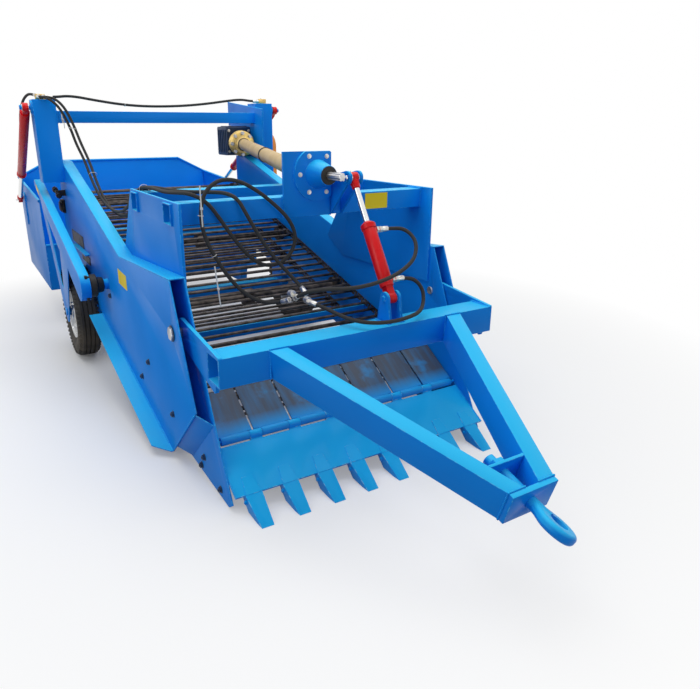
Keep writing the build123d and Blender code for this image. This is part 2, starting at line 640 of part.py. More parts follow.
# Share: the sloping blade with its tines, the hinge knuckles that are fixed to it and the hinge pin
share_slope = radians(SHARE_ANGLE)
share_plane = Plane(origin=(0, TIP_Y, 0), x_dir=(1, 0, 0), z_dir=(0, -sin(share_slope), cos(share_slope)))
flap_pitch = 2 * WALL_IN / FLAP_COUNT
boundaries = [-WALL_IN + index * flap_pitch for index in range(1, FLAP_COUNT)]
knuckle_clear = HINGE_OD / 2 + MOVING_GAP
with BuildPart() as share_blade:
    with BuildSketch(share_plane):
        with Locations((0, (BLADE_FRONT + HINGE_LINE - knuckle_clear) / 2)):
            Rectangle(2 * WALL_IN, HINGE_LINE - knuckle_clear - BLADE_FRONT)
    extrude(amount=-BLADE_THICK)
    for index in range(TINE_COUNT):
        tine_x = (index - (TINE_COUNT - 1) / 2) * TINE_PITCH
        with BuildSketch(share_plane):
            with BuildLine():
                Polyline((tine_x - TINE_TIP / 2, 0), (tine_x + TINE_TIP / 2, 0),
                         (tine_x + TINE_ROOT / 2, BLADE_FRONT), (tine_x + TINE_ROOT / 2, TINE_LONG),
                         (tine_x - TINE_ROOT / 2, TINE_LONG), (tine_x - TINE_ROOT / 2, BLADE_FRONT),
                         close=True)
            make_face()
        extrude(amount=-TINE_BELLY)
    side_plane = Plane(origin=share_plane.origin, x_dir=share_plane.y_dir, z_dir=(1, 0, 0))
    with BuildSketch(side_plane.offset(-WALL_IN)):
        with BuildLine():
            Polyline((-TINE_BELLY, -TINE_NOSE), (0, -TINE_NOSE), (TINE_BELLY_AT, -TINE_BELLY),
                     (TINE_LONG, -TINE_HEEL), (TINE_LONG, -2 * TINE_BELLY),
                     (-TINE_BELLY, -2 * TINE_BELLY), close=True)
        make_face()
    extrude(amount=2 * WALL_IN, mode=Mode.SUBTRACT)
    with BuildSketch(share_plane):
        with Locations(*[(x, HINGE_LINE - KNUCKLE_TAB / 2) for x in boundaries]):
            Rectangle(BLADE_KNUCKLE, KNUCKLE_TAB)
    extrude(amount=-BLADE_THICK)
    hinge_plane = Plane(origin=share_plane.from_local_coords(Vector(0, HINGE_LINE, HINGE_RISE)),
                        x_dir=(0, 1, 0), z_dir=(1, 0, 0))
    for x in boundaries:
        with BuildSketch(hinge_plane.offset(x - BLADE_KNUCKLE / 2)):
            Circle(HINGE_OD / 2)
        extrude(amount=BLADE_KNUCKLE)
    with BuildSketch(hinge_plane.offset(-WALL_IN)):
        Circle(HINGE_PIN / 2)
    extrude(amount=2 * WALL_IN)
    split(bisect_by=Plane.XY, keep=Keep.TOP)
finish(share_blade, "share_blade")

with BuildPart() as flap_row:
    for index in range(FLAP_COUNT):
        flap_x = -WALL_IN + (index + 0.5) * flap_pitch
        knuckle = flap_pitch - BLADE_KNUCKLE - 2 * KNUCKLE_GAP
        with BuildSketch(share_plane):
            with Locations((flap_x, (HINGE_LINE + knuckle_clear + FLAP_REAR) / 2)):
                Rectangle(flap_pitch - FLAP_GAP, FLAP_REAR - HINGE_LINE - knuckle_clear)
            with Locations((flap_x, HINGE_LINE + KNUCKLE_TAB / 2)):
                Rectangle(knuckle, KNUCKLE_TAB)
        extrude(amount=-FLAP_THICK)
        with BuildSketch(hinge_plane.offset(flap_x - knuckle / 2)):
            Circle(HINGE_OD / 2)
        extrude(amount=knuckle)
        with BuildSketch(hinge_plane.offset(flap_x - knuckle / 2)):
            Circle(HINGE_PIN / 2 + PIN_FIT)
        extrude(amount=knuckle, mode=Mode.SUBTRACT)
finish(flap_row, "flap_row")

# Rod web: two side chains joined by the rods
web_run = Vector(WEB_REAR[0] - WEB_FRONT[0], WEB_REAR[1] - WEB_FRONT[1])
web_angle = atan2(web_run.Y, web_run.X)
web_length = 2 * web_run.length + 2 * pi * WEB_RADIUS


def web_point(distance):
    """Side-view point of the web's middle line, a distance round the loop from its top run's front."""
    up = (-sin(web_angle), cos(web_angle))
    ahead = (cos(web_angle), sin(web_angle))
    half_turn = pi * WEB_RADIUS
    if distance < web_run.length:
        base, reach, turn = WEB_FRONT, distance, 0.0
    elif distance < web_run.length + half_turn:
        base, reach, turn = WEB_REAR, 0.0, (distance - web_run.length) / WEB_RADIUS
    elif distance < 2 * web_run.length + half_turn:
        base, reach, turn = WEB_REAR, -(distance - web_run.length - half_turn), pi
    else:
        base, reach, turn = WEB_FRONT, 0.0, pi + (distance - 2 * web_run.length - half_turn) / WEB_RADIUS
    rise, lead = WEB_RADIUS * cos(turn), WEB_RADIUS * sin(turn)
    return (base[0] + reach * ahead[0] + rise * up[0] + lead * ahead[0],
            base[1] + reach * ahead[1] + rise * up[1] + lead * ahead[1])


rod_points = [web_point(index * web_length / WEB_ROD_COUNT) for index in range(WEB_ROD_COUNT)]
with BuildPart() as web:
    for side, sign in SIDES:
        for radius, mode in ((WEB_RADIUS + WEB_CHAIN_THICK / 2, Mode.ADD),
                             (WEB_RADIUS - WEB_CHAIN_THICK / 2, Mode.SUBTRACT)):
            with BuildSketch(Plane.YZ.offset(sign * (WEB_HALF - WEB_CHAIN_WIDE))):
                hull_of([(*WEB_FRONT, radius), (*WEB_REAR, radius)])
            extrude(amount=sign * WEB_CHAIN_WIDE, mode=mode)
    with BuildSketch(Plane.YZ.offset(-WEB_HALF + WEB_CHAIN_WIDE / 2)):
        with Locations(*flat(rod_points)):
            RegularPolygon(WEB_ROD / 2, 6)
    extrude(amount=2 * WEB_HALF - WEB_CHAIN_WIDE)
finish(web, "web")

# Shafts and rollers that carry the web, and the tubes that tie the inner walls between its two runs
roller_r = WEB_RADIUS - max(WEB_CHAIN_THICK, WEB_ROD) / 2 - SEAT_GAP
roller_x = (WEB_HALF - WEB_CHAIN_WIDE / 2, -WEB_HALF + WEB_CHAIN_WIDE / 2, 0.0)
with BuildPart() as web_shafts:
    for centre in (WEB_FRONT, WEB_REAR):
        with BuildSketch(Plane.YZ.offset(-WALL_IN)):
            with Locations(*flat([centre])):
                Circle(SHAFT / 2)
        extrude(amount=2 * WALL_IN)
        for x in roller_x:
            with BuildSketch(Plane.YZ.offset(x - WEB_CHAIN_WIDE / 2)):
                with Locations(*flat([centre])):
                    Circle(roller_r)
            extrude(amount=WEB_CHAIN_WIDE)
    for share in IDLER_SHARES:
        station, height = along(WEB_FRONT, WEB_REAR, share)
        drop = roller_r - IDLER_R
        centre = (station - drop * sin(web_angle), height + drop * cos(web_angle))
        with BuildSketch(Plane.YZ.offset(-WALL_IN)):
            with Locations(*flat([centre])):
                Circle(SHAFT / 2)
        extrude(amount=2 * WALL_IN)
        for x in roller_x:
            with BuildSketch(Plane.YZ.offset(x - ROLLER_WIDE / 2)):
                with Locations(*flat([centre])):
                    Circle(IDLER_R)
            extrude(amount=min(ROLLER_WIDE, WALL_IN - abs(x)))
finish(web_shafts, "web_shafts")

with BuildPart() as cross_tubes:
    with BuildSketch(Plane.YZ.offset(-WALL_IN)):
        with Locations(*flat([along(WEB_FRONT, WEB_REAR, share) for share in CROSS_TUBE_SHARES])):
            Rectangle(CROSS_TUBE, CROSS_TUBE)
            Rectangle(CROSS_TUBE - 2 * REAR_BEAM_WALL, CROSS_TUBE - 2 * REAR_BEAM_WALL, mode=Mode.SUBTRACT)
    extrude(amount=2 * WALL_IN)
finish(cross_tubes, "cross_tubes")

# Drawbar: cross tube with open ends in its two ear plates
bar_tube_mid = (BAR_TUBE_FRONT + BAR_TUBE / 2, BAR_TUBE_TOP - BAR_TUBE / 2)
with BuildPart() as drawbar_cross:
    with BuildSketch(Plane.YZ.offset(-EAR_OUT)):
        with Locations(*flat([bar_tube_mid])):
            Rectangle(BAR_TUBE, BAR_TUBE)
            Rectangle(BAR_TUBE - 2 * BAR_TUBE_WALL, BAR_TUBE - 2 * BAR_TUBE_WALL, mode=Mode.SUBTRACT)
    extrude(amount=2 * EAR_OUT)
finish(drawbar_cross, "drawbar_cross")

with BuildPart() as drawbar_ears:
    for side, sign in SIDES:
        with BuildSketch(Plane.YZ.offset(sign * EAR_IN)):
            hull_of([(*PIVOT, EAR_R), (*EAR_FRONT_TOP, EAR_ROUND), (*EAR_FRONT_LOW, EAR_ROUND)])
            with Locations(*flat([bar_tube_mid])):
                Rectangle(BAR_TUBE, BAR_TUBE, mode=Mode.SUBTRACT)
            with Locations(*flat([PIVOT])):
                Circle(PIVOT_PIN / 2 + PIN_FIT, mode=Mode.SUBTRACT)
        extrude(amount=sign * EAR)
finish(drawbar_ears, "drawbar_ears")

# Drawbar beams, drawn in the plane of the sloping triangle and cut off at the cross tube
bar_slope = radians(BAR_SLOPE)
bar_root = (0, y_at(BAR_TUBE_FRONT), bar_tube_mid[1])
bar_plane = Plane(origin=bar_root, x_dir=(1, 0, 0), z_dir=(0, -sin(bar_slope), cos(bar_slope)))
bar_overrun = BAR_HIGH * tan(bar_slope)
shank_plane = Plane(origin=bar_root, x_dir=(1, 0, 0), z_dir=-bar_plane.y_dir)


def bar_half_width(edge, distance):
    """Half width of the drawbar triangle at a distance from its root; edge 0 is inner, 1 is outer."""
    return BAR_ROOT[edge] + (BAR_TIP[edge] - BAR_ROOT[edge]) * distance / BAR_LONG


with BuildPart() as drawbar_beams:
    for side, sign in SIDES:
        for inset, mode in ((0.0, Mode.ADD), (BAR_WALL, Mode.SUBTRACT)):
            with BuildSketch(bar_plane.offset(-BAR_HIGH / 2 + inset)):
                with BuildLine():
                    Polyline((sign * (bar_half_width(0, -bar_overrun) + inset), bar_overrun),
                             (sign * (bar_half_width(1, -bar_overrun) - inset), bar_overrun),
                             (sign * (bar_half_width(1, BAR_LONG) - inset), -BAR_LONG),
                             (sign * (bar_half_width(0, BAR_LONG) + inset), -BAR_LONG), close=True)
                make_face()
            extrude(amount=BAR_HIGH - 2 * inset, mode=mode)
    split(bisect_by=Plane.XZ.offset(-y_at(BAR_TUBE_FRONT)), keep=Keep.TOP)
finish(drawbar_beams, "drawbar_beams")

with BuildPart() as drawbar_end:
    with BuildSketch(bar_plane.offset(-BAR_HIGH / 2)):
        with Locations((0, -BAR_LONG - BAR_END_PLATE / 2)):
            Rectangle(2 * bar_half_width(1, BAR_LONG), BAR_END_PLATE)
    extrude(amount=BAR_HIGH)
    with BuildSketch(shank_plane.offset(BAR_LONG)):
        Circle(EYE_SHANK / 2 + PIN_FIT)
    extrude(amount=BAR_END_PLATE, mode=Mode.SUBTRACT)
finish(drawbar_end, "drawbar_end")

with BuildPart() as drawbar_stiffener:
    with BuildSketch(bar_plane.offset(-BAR_HIGH / 2)):
        with BuildLine():
            near = BAR_STIFFENER_AT
            far = BAR_STIFFENER_AT + BAR_STIFFENER
            Polyline((-bar_half_width(0, near), -near), (bar_half_width(0, near), -near),
                     (bar_half_width(0, far), -far), (-bar_half_width(0, far), -far), close=True)
        make_face()
    extrude(amount=BAR_HIGH)
    with BuildSketch(shank_plane.offset(BAR_STIFFENER_AT)):
        Circle(EYE_SHANK / 2 + PIN_FIT)
    extrude(amount=BAR_STIFFENER, mode=Mode.SUBTRACT)
finish(drawbar_stiffener, "drawbar_stiffener")

# Drawbar eye: forged ring, turned a little on its shank, which runs through the end plate and the stiffener
eye_reach = BAR_LONG + EYE_REACH
eye_roll = radians(EYE_ROLL)
across = Vector(1, 0, 0)
eye_plane = Plane(origin=Vector(bar_root) - bar_plane.y_dir * eye_reach,
                  x_dir=across * cos(eye_roll) - bar_plane.z_dir * sin(eye_roll),
                  z_dir=bar_plane.z_dir * cos(eye_roll) + across * sin(eye_roll))
nut_front = BAR_STIFFENER_AT - SEAT_GAP
shank_end = nut_front - EYE_NUT_THICK - EYE_SHANK_PROUD
with BuildPart() as drawbar_eye:
    with BuildSketch(eye_plane.offset(-EYE_THICK / 2)):
        Circle(EYE_OD / 2)
        with Locations((0, EYE_NECK)):
            Circle(EYE_SHANK / 2)
        make_hull()
    extrude(amount=EYE_THICK)
    upright_axis = Axis(eye_plane.origin, eye_plane.z_dir)
    fillet(drawbar_eye.edges().filter_by(upright_axis, reverse=True), EYE_THICK * EYE_EDGE_SHARE)
    with BuildSketch(shank_plane.offset(shank_end)):
        Circle(EYE_SHANK / 2)
    extrude(amount=eye_reach - EYE_BORE / 2 - shank_end)
    with BuildSketch(eye_plane.offset(-EYE_THICK)):
        Circle(EYE_BORE / 2)
    extrude(amount=2 * EYE_THICK, mode=Mode.SUBTRACT)
    with BuildSketch(shank_plane.offset(nut_front)):
        RegularPolygon(EYE_NUT / 2, 6, major_radius=False)
    extrude(amount=-EYE_NUT_THICK)
finish(drawbar_eye, "drawbar_eye")

# Clevises of the lift cylinder, on the drawbar's cross tube and on the front head tube
clevis_in = LIFT_EYE_WIDE / 2 + CLEVIS_GAP
with BuildPart() as clevis_lower:
    for sign in (1, -1):
        with BuildSketch(Plane.YZ.offset(LIFT_X + sign * clevis_in)):
            with BuildLine():
                foot = CLEVIS_R * LUG_SPREAD
                Polyline(*flat([(LIFT_LOWER[0] - foot, BAR_TUBE_TOP), (LIFT_LOWER[0] + foot, BAR_TUBE_TOP),
                                (LIFT_LOWER[0] + CLEVIS_R, LIFT_LOWER[1]),
                                (LIFT_LOWER[0] - CLEVIS_R, LIFT_LOWER[1])]), close=True)
            make_face()
            with Locations(*flat([LIFT_LOWER])):
                Circle(CLEVIS_R)
        extrude(amount=sign * CLEVIS)
    pin_half = clevis_in + CLEVIS + LIFT_PIN_PROUD
    with BuildSketch(Plane.YZ.offset(LIFT_X - pin_half)):
        with Locations(*flat([LIFT_LOWER])):
            Circle(LIFT_PIN / 2)
    extrude(amount=2 * pin_half)
finish(clevis_lower, "clevis_lower")

with BuildPart() as clevis_upper:
    for sign in (1, -1):
        with BuildSketch(Plane.YZ.offset(LIFT_X + sign * clevis_in)):
            with BuildLine():
                Polyline(*flat([(head_tube_front, head_tube_low), (head_tube_front, LIFT_UPPER[1]),
                                (LIFT_UPPER[0] + CLEVIS_R * CLEVIS_TOP_SHARE, LIFT_UPPER[1] + CLEVIS_R),
                                (LIFT_UPPER[0] - CLEVIS_R, LIFT_UPPER[1])]), close=True)
            make_face()
            with Locations(*flat([LIFT_UPPER])):
                Circle(CLEVIS_R)
                Circle(LIFT_PIN / 2 + LIFT_PIN_DRIFT, mode=Mode.SUBTRACT)
        extrude(amount=sign * CLEVIS)
finish(clevis_upper, "clevis_upper")

# Hydraulic cylinders. Columns: name, x, barrel pin, rod pin, pin size, eye width, barrel radius,
# rod radius, barrel start and end along the cylinder, rod start, pin ends beside the middle
tip_long = hypot(TIP_LOWER[0] - TIP_UPPER[0], TIP_LOWER[1] - TIP_UPPER[1])
tip_end = tip_long * TIP_BARREL_SHARE
tip_eye = TIP_EYE_WIDE / 2
lift_long = hypot(LIFT_UPPER[0] - LIFT_LOWER[0], LIFT_UPPER[1] - LIFT_LOWER[1])
CYLINDERS = (
    ("lift", LIFT_X, LIFT_LOWER, LIFT_UPPER, LIFT_PIN, LIFT_EYE_WIDE, LIFT_BARREL_R,
     LIFT_ROD_R, LIFT_BARREL_START, lift_long - LIFT_ROD_SHOWN, LIFT_ROD_START, -pin_half, pin_half),
    ("tip_left", TIP_X, TIP_UPPER, TIP_LOWER, TIP_PIN, TIP_EYE_WIDE, TIP_BARREL_R,
     TIP_ROD_R, TIP_BARREL_START, tip_end, tip_end - TIP_ROD_INSIDE, -tip_eye, tip_eye + TIP_PIN_PROUD),
    ("tip_right", -TIP_X, TIP_UPPER, TIP_LOWER, TIP_PIN, TIP_EYE_WIDE, TIP_BARREL_R,
     TIP_ROD_R, TIP_BARREL_START, tip_end, tip_end - TIP_ROD_INSIDE, -tip_eye - TIP_PIN_PROUD, tip_eye),
)


def side_point(foot, head, distance, rise):
    """Side-view point at a distance along a cylinder and a rise square to it."""
    length = hypot(head[0] - foot[0], head[1] - foot[1])
    ahead = ((head[0] - foot[0]) / length, (head[1] - foot[1]) / length)
    return (foot[0] + distance * ahead[0] - rise * ahead[1], foot[1] + distance * ahead[1] + rise * ahead[0])


for (name, x, foot, head, pin, eye_wide, barrel_r, rod_r, start, end, rod_start,
     pin_low, pin_high) in CYLINDERS:
    reach = Vector(0, head[0] - foot[0], head[1] - foot[1])
    axis_plane = Plane(origin=(x, y_at(foot[0]), foot[1]), x_dir=(1, 0, 0), z_dir=reach.normalized())
    eye_r = pin * CYLINDER_EYE_SHARE
    with BuildPart() as barrel:
        with BuildSketch(Plane.YZ.offset(x - eye_wide / 2)):
            with Locations(*flat([foot])):
                Circle(eye_r)
        extrude(amount=eye_wide)
        with BuildSketch(axis_plane):
            Rectangle(eye_wide, eye_r * CYLINDER_NECK_SHARE)
        extrude(amount=start)
        with BuildSketch(axis_plane.offset(start)):
            Circle(barrel_r)
        extrude(amount=end - start)
        with BuildSketch(axis_plane.offset(start + BARREL_WALL)):
            Circle(barrel_r - BARREL_WALL)
        extrude(amount=end - start - BARREL_WALL - GLAND_LONG, mode=Mode.SUBTRACT)
        with BuildSketch(axis_plane.offset(end - GLAND_LONG)):
            Circle(rod_r + PIN_FIT)
        extrude(amount=GLAND_LONG, mode=Mode.SUBTRACT)
        with BuildSketch(Plane.YZ.offset(x - eye_wide / 2)):
            with Locations(*flat([foot])):
                Circle(pin / 2 + PIN_FIT)
        extrude(amount=eye_wide, mode=Mode.SUBTRACT)
        if name == "lift":
            for port in LIFT_PORTS:
                with BuildSketch(Plane.YZ.offset(x + barrel_r + PORT_HIGH)):
                    with Locations(*flat([side_point(foot, head, port, 0.0)])):
                        Circle(PORT_R)
                extrude(amount=-PORT_HIGH - BARREL_WALL)
        else:
            station, height = side_point(foot, head, TIP_PORT, barrel_r + PORT_HIGH)
            down = (0, reach.Z, -reach.Y)
            with BuildSketch(Plane(origin=(x, y_at(station), height), x_dir=(1, 0, 0), z_dir=down)):
                Circle(PORT_R)
            extrude(amount=PORT_HIGH + BARREL_WALL)
    finish(barrel, f"{name}_barrel")
    with BuildPart() as rod:
        with BuildSketch(axis_plane.offset(rod_start)):
            Circle(rod_r)
        extrude(amount=reach.length - rod_start)
        with BuildSketch(Plane.YZ.offset(x - eye_wide / 2)):
            with Locations(*flat([head])):
                Circle(eye_r)
        extrude(amount=eye_wide)
        with BuildSketch(Plane.YZ.offset(x + pin_low)):
            with Locations(*flat([head])):
                Circle(pin / 2)
        extrude(amount=pin_high - pin_low)
    finish(rod, f"{name}_rod")

# Wheels: rim with hub and disc, and tyre
for side, sign in SIDES:
    hub_axis = Axis((0, y_at(AXLE[0]), AXLE[1]), (1, 0, 0))
    wheel_plane = Plane(origin=(sign * TYRE_MID, y_at(AXLE[0]), AXLE[1]),
                        x_dir=(sign, 0, 0), z_dir=(0, -sign, 0))
    with BuildPart() as rim:
        with BuildSketch(wheel_plane):
            bore = AXLE_STUB / 2 + PIN_FIT
            with Locations((0, (bore + HUB_R) / 2)):
                Rectangle(HUB_LONG, HUB_R - bore)
            with Locations((RIM_WIDE / 6, (HUB_R + RIM_R) / 2 - RIM_WALL)):
                Rectangle(WHEEL_DISC, RIM_R - HUB_R + RIM_WALL)
            with Locations((0, RIM_R - RIM_WALL / 2)):
                Rectangle(RIM_WIDE, RIM_WALL)
            for edge in (-1, 1):
                with Locations((edge * (RIM_WIDE - RIM_WALL) / 2, RIM_R + RIM_FLANGE / 2)):
                    Rectangle(RIM_WALL, RIM_FLANGE)
        revolve(axis=hub_axis)
    finish(rim, f"rim_{side}")

    bead = RIM_WIDE / 2 - RIM_WALL - SEAT_GAP
    with BuildPart() as tyre:
        with BuildSketch(wheel_plane):
            with BuildLine():
                Polyline((-bead, RIM_R + RIM_FLANGE), (-bead, RIM_R + SEAT_GAP),
                         (bead, RIM_R + SEAT_GAP), (bead, RIM_R + RIM_FLANGE))
                bulge = RIM_R + TYRE_BULGE_RISE
                shoulder = TYRE_OD / 2 - TYRE_SHOULDER_DROP
                edge = TYRE_TREAD / 2 + TYRE_SHOULDER
                ThreePointArc((bead, RIM_R + RIM_FLANGE), (TYRE_WIDE / 2, bulge), (edge, shoulder))
                Polyline((edge, shoulder), (TYRE_TREAD / 2, TYRE_OD / 2),
                         (-TYRE_TREAD / 2, TYRE_OD / 2), (-edge, shoulder))
                ThreePointArc((-edge, shoulder), (-TYRE_WIDE / 2, bulge), (-bead, RIM_R + RIM_FLANGE))
            make_face()
        revolve(axis=hub_axis)
    finish(tyre, f"tyre_{side}")

# Axle: tube under the web, drop blocks up into the walls and the stubs of the wheels
with BuildPart() as axle:
    with BuildSketch(Plane.YZ.offset(-WALL_OUTER_IN)):
        with Locations(*flat([AXLE])):
            Rectangle(AXLE_TUBE, AXLE_TUBE)
            Rectangle(AXLE_TUBE - 2 * AXLE_TUBE_WALL, AXLE_TUBE - 2 * AXLE_TUBE_WALL, mode=Mode.SUBTRACT)
    extrude(amount=2 * WALL_OUTER_IN)
    for side, sign in SIDES:
        with BuildSketch(Plane.YZ.offset(sign * WALL_INNER_OUT)):
            with Locations((y_at(AXLE[0]), (AXLE[1] + AXLE_DROP_TOP) / 2)):
                Rectangle(AXLE_DROP_LONG, AXLE_DROP_TOP - AXLE[1])
            with Locations(*flat([AXLE])):
                Rectangle(AXLE_TUBE, AXLE_TUBE)
        extrude(amount=sign * WALL_GAP)
        with BuildSketch(Plane.YZ.offset(sign * WALL_OUTER_IN)):
            with Locations(*flat([AXLE])):
                Circle(AXLE_STUB / 2)
        extrude(amount=sign * (BRACKET_OUT - WALL_OUTER_IN + PLATE))
finish(axle, "axle")

# Wheel brackets: an arm with a strip along its upper edge, and an open leg down to the axle
bracket_arm = [(*BRACKET_FRONT, BRACKET_FRONT_R), (*BRACKET_REAR, BRACKET_REAR_R)]
bracket_leg = [(*along(BRACKET_FRONT, BRACKET_REAR, back), BRACKET_LEG_R) for back in BRACKET_LEG]
bracket_leg.append((*AXLE, BRACKET_FOOT_R))
bracket_cut = [along(along(BRACKET_FRONT, BRACKET_REAR, back), AXLE, down) for back, down in BRACKET_CUT]
for side, sign in SIDES:
    with BuildPart() as wheel_bracket:
        with BuildSketch(Plane.YZ.offset(sign * BRACKET_IN)):
            hull_of(bracket_arm)
        extrude(amount=sign * PLATE)
        with BuildSketch(Plane.YZ.offset(sign * BRACKET_IN)):
            hull_of(bracket_leg)
        extrude(amount=sign * PLATE)
        with BuildSketch(Plane.YZ.offset(sign * BRACKET_IN)):
            with BuildLine():
                Polyline(*flat(bracket_cut), close=True)
            make_face()
            with Locations(*flat([AXLE])):
                Circle(AXLE_STUB / 2 + PIN_FIT)
        extrude(amount=sign * PLATE, mode=Mode.SUBTRACT)
        with BuildSketch(Plane.YZ.offset(sign * BRACKET_IN)):
            hull_of(bracket_arm)
        extrude(amount=-sign * BRACKET_STRIP)
        with BuildSketch(Plane.YZ.offset(sign * BRACKET_IN)):
            hull_of([(station, height, radius - PLATE) for station, height, radius in bracket_arm])
            with BuildLine():
                strip_low = BRACKET_FRONT[1] - 2 * BRACKET_FRONT_R
                Polyline(*flat([BRACKET_FRONT, BRACKET_REAR, (BRACKET_REAR[0], strip_low),
                                (BRACKET_FRONT[0], strip_low)]), close=True)
            make_face()
        extrude(amount=-sign * BRACKET_STRIP, mode=Mode.SUBTRACT)
        with BuildSketch(Plane.YZ.offset(sign * WALL_OUT)):
            with Locations(*flat([BRACKET_FRONT])):
                Circle(BRACKET_BOSS / 2)
        extrude(amount=sign * (BRACKET_IN - WALL_OUT))
    finish(wheel_bracket, f"wheel_bracket_{side}")

# Arms that run from inside the walls to the hopper's pivot
arm_low = HOPPER_PIVOT[1] - ARM_END_R
arm_top = HOPPER_PIVOT[1] + ARM_END_R
arm_bend = ARM_HIGH * ARM_BEND_SHARE
with BuildPart() as rear_arms:
    for side, sign in SIDES:
        with BuildSketch(Plane.YZ.offset(sign * WALL_INNER_OUT)):
            with BuildLine():
                Polyline(*flat([(ARM_ROOT_FRONT, ARM_ROOT_LOW), (ARM_ROOT_FRONT, ARM_ROOT_LOW + ARM_HIGH),
                                (ARM_KNEE, ARM_ROOT_HIGH + ARM_HIGH), (ARM_KNEE + arm_bend, ARM_ROOT_HIGH),
                                (ARM_KNEE + ARM_HIGH, arm_top), (HOPPER_PIVOT[0], arm_top),
                                (HOPPER_PIVOT[0], arm_low), (ARM_KNEE, arm_low),
                                (ARM_KNEE - ARM_HIGH, ARM_ROOT_LOW + arm_bend)]), close=True)
            make_face()
            with Locations(*flat([HOPPER_PIVOT])):
                Circle(ARM_END_R)
                Circle(HOPPER_PIN / 2 + PIN_FIT, mode=Mode.SUBTRACT)
        extrude(amount=sign * WALL_GAP)
finish(rear_arms, "rear_arms")

# Hopper: floor with its pivot lugs and pins, front lip, two side walls and the rear wall
lug_inner = WALL_INNER_OUT - MOVING_GAP - HOPPER_LUG
lug_outer = WALL_OUTER_IN + MOVING_GAP
with BuildPart() as hopper_floor:
    with BuildSketch(Plane.XY.offset(HOPPER_FLOOR)):
        with Locations((0, y_at((HOPPER_FRONT + HOPPER_REAR) / 2))):
            Rectangle(2 * (HOPPER_HALF - HOPPER_PLATE), HOPPER_REAR - HOPPER_FRONT - HOPPER_PLATE * 2)
    extrude(amount=HOPPER_PLATE)
    for side, sign in SIDES:
        for lug_x in (lug_inner, lug_outer):
            with BuildSketch(Plane.YZ.offset(sign * lug_x)):
                with BuildLine():
                    reach = HOPPER_LUG_R * LUG_SPREAD
                    Polyline(*flat([(HOPPER_PIVOT[0] - HOPPER_LUG_R, HOPPER_PIVOT[1]),
                                    (HOPPER_PIVOT[0] - reach, HOPPER_FLOOR),
                                    (HOPPER_PIVOT[0] + reach, HOPPER_FLOOR),
                                    (HOPPER_PIVOT[0] + HOPPER_LUG_R, HOPPER_PIVOT[1])]), close=True)
                make_face()
                with Locations(*flat([HOPPER_PIVOT])):
                    Circle(HOPPER_LUG_R)
            extrude(amount=sign * HOPPER_LUG)
        with BuildSketch(Plane.YZ.offset(sign * lug_inner)):
            with Locations(*flat([HOPPER_PIVOT])):
                Circle(HOPPER_PIN / 2)
        extrude(amount=sign * (lug_outer + HOPPER_LUG - lug_inner))
finish(hopper_floor, "hopper_floor")

with BuildPart() as hopper_front:
    with BuildSketch(Plane.XZ.offset(-y_at(HOPPER_FRONT))):
        with Locations((0, (HOPPER_FLOOR + HOPPER_LIP) / 2)):
            Rectangle(2 * (HOPPER_HALF - HOPPER_PLATE), HOPPER_LIP - HOPPER_FLOOR)
    extrude(amount=-HOPPER_PLATE)
finish(hopper_front, "hopper_front")

with BuildPart() as hopper_rear:
    with BuildSketch(Plane.XZ.offset(-y_at(HOPPER_REAR))):
        with BuildLine():
            inner_half = HOPPER_HALF - HOPPER_PLATE
            Polyline((-inner_half, HOPPER_FLOOR), (inner_half, HOPPER_FLOOR),
                     (inner_half, HOPPER_SIDE_REAR_TOP),
                     (HOPPER_REAR_FLAT, HOPPER_REAR_TOP), (-HOPPER_REAR_FLAT, HOPPER_REAR_TOP),
                     (-inner_half, HOPPER_SIDE_REAR_TOP), close=True)
        make_face()
    extrude(amount=HOPPER_PLATE)
finish(hopper_rear, "hopper_rear")

for side, sign in SIDES:
    with BuildPart() as hopper_side:
        with BuildSketch(Plane.YZ.offset(sign * HOPPER_HALF)):
            with BuildLine():
                Polyline(*flat([(HOPPER_FRONT, HOPPER_FLOOR), (HOPPER_REAR, HOPPER_FLOOR),
                                (HOPPER_REAR, HOPPER_SIDE_REAR_TOP), (HOPPER_FRONT, HOPPER_SIDE_FRONT_TOP)]),
                         close=True)
            make_face()
        extrude(amount=-sign * HOPPER_PLATE)
        with BuildSketch(Plane.YZ.offset(sign * HOPPER_HALF)):
            hull_of([(*TIP_LOWER, TIP_LUG_R), (TIP_LOWER[0], TIP_LOWER[1] - 3 * TIP_LUG_R, TIP_LUG_R)])
        extrude(amount=sign * TIP_LUG)
    finish(hopper_side, f"hopper_side_{side}")

# Tees on the uprights where the hoses meet
with BuildPart() as hose_tees:
    for side, sign in SIDES:
        with Locations((sign * TEE_X, y_at(TEE_STATION), UPRIGHT_TOP + TEE_HIGH / 2)):
            Box(TEE_WIDE, TEE_DEEP, TEE_HIGH)
finish(hose_tees, "hose_tees")

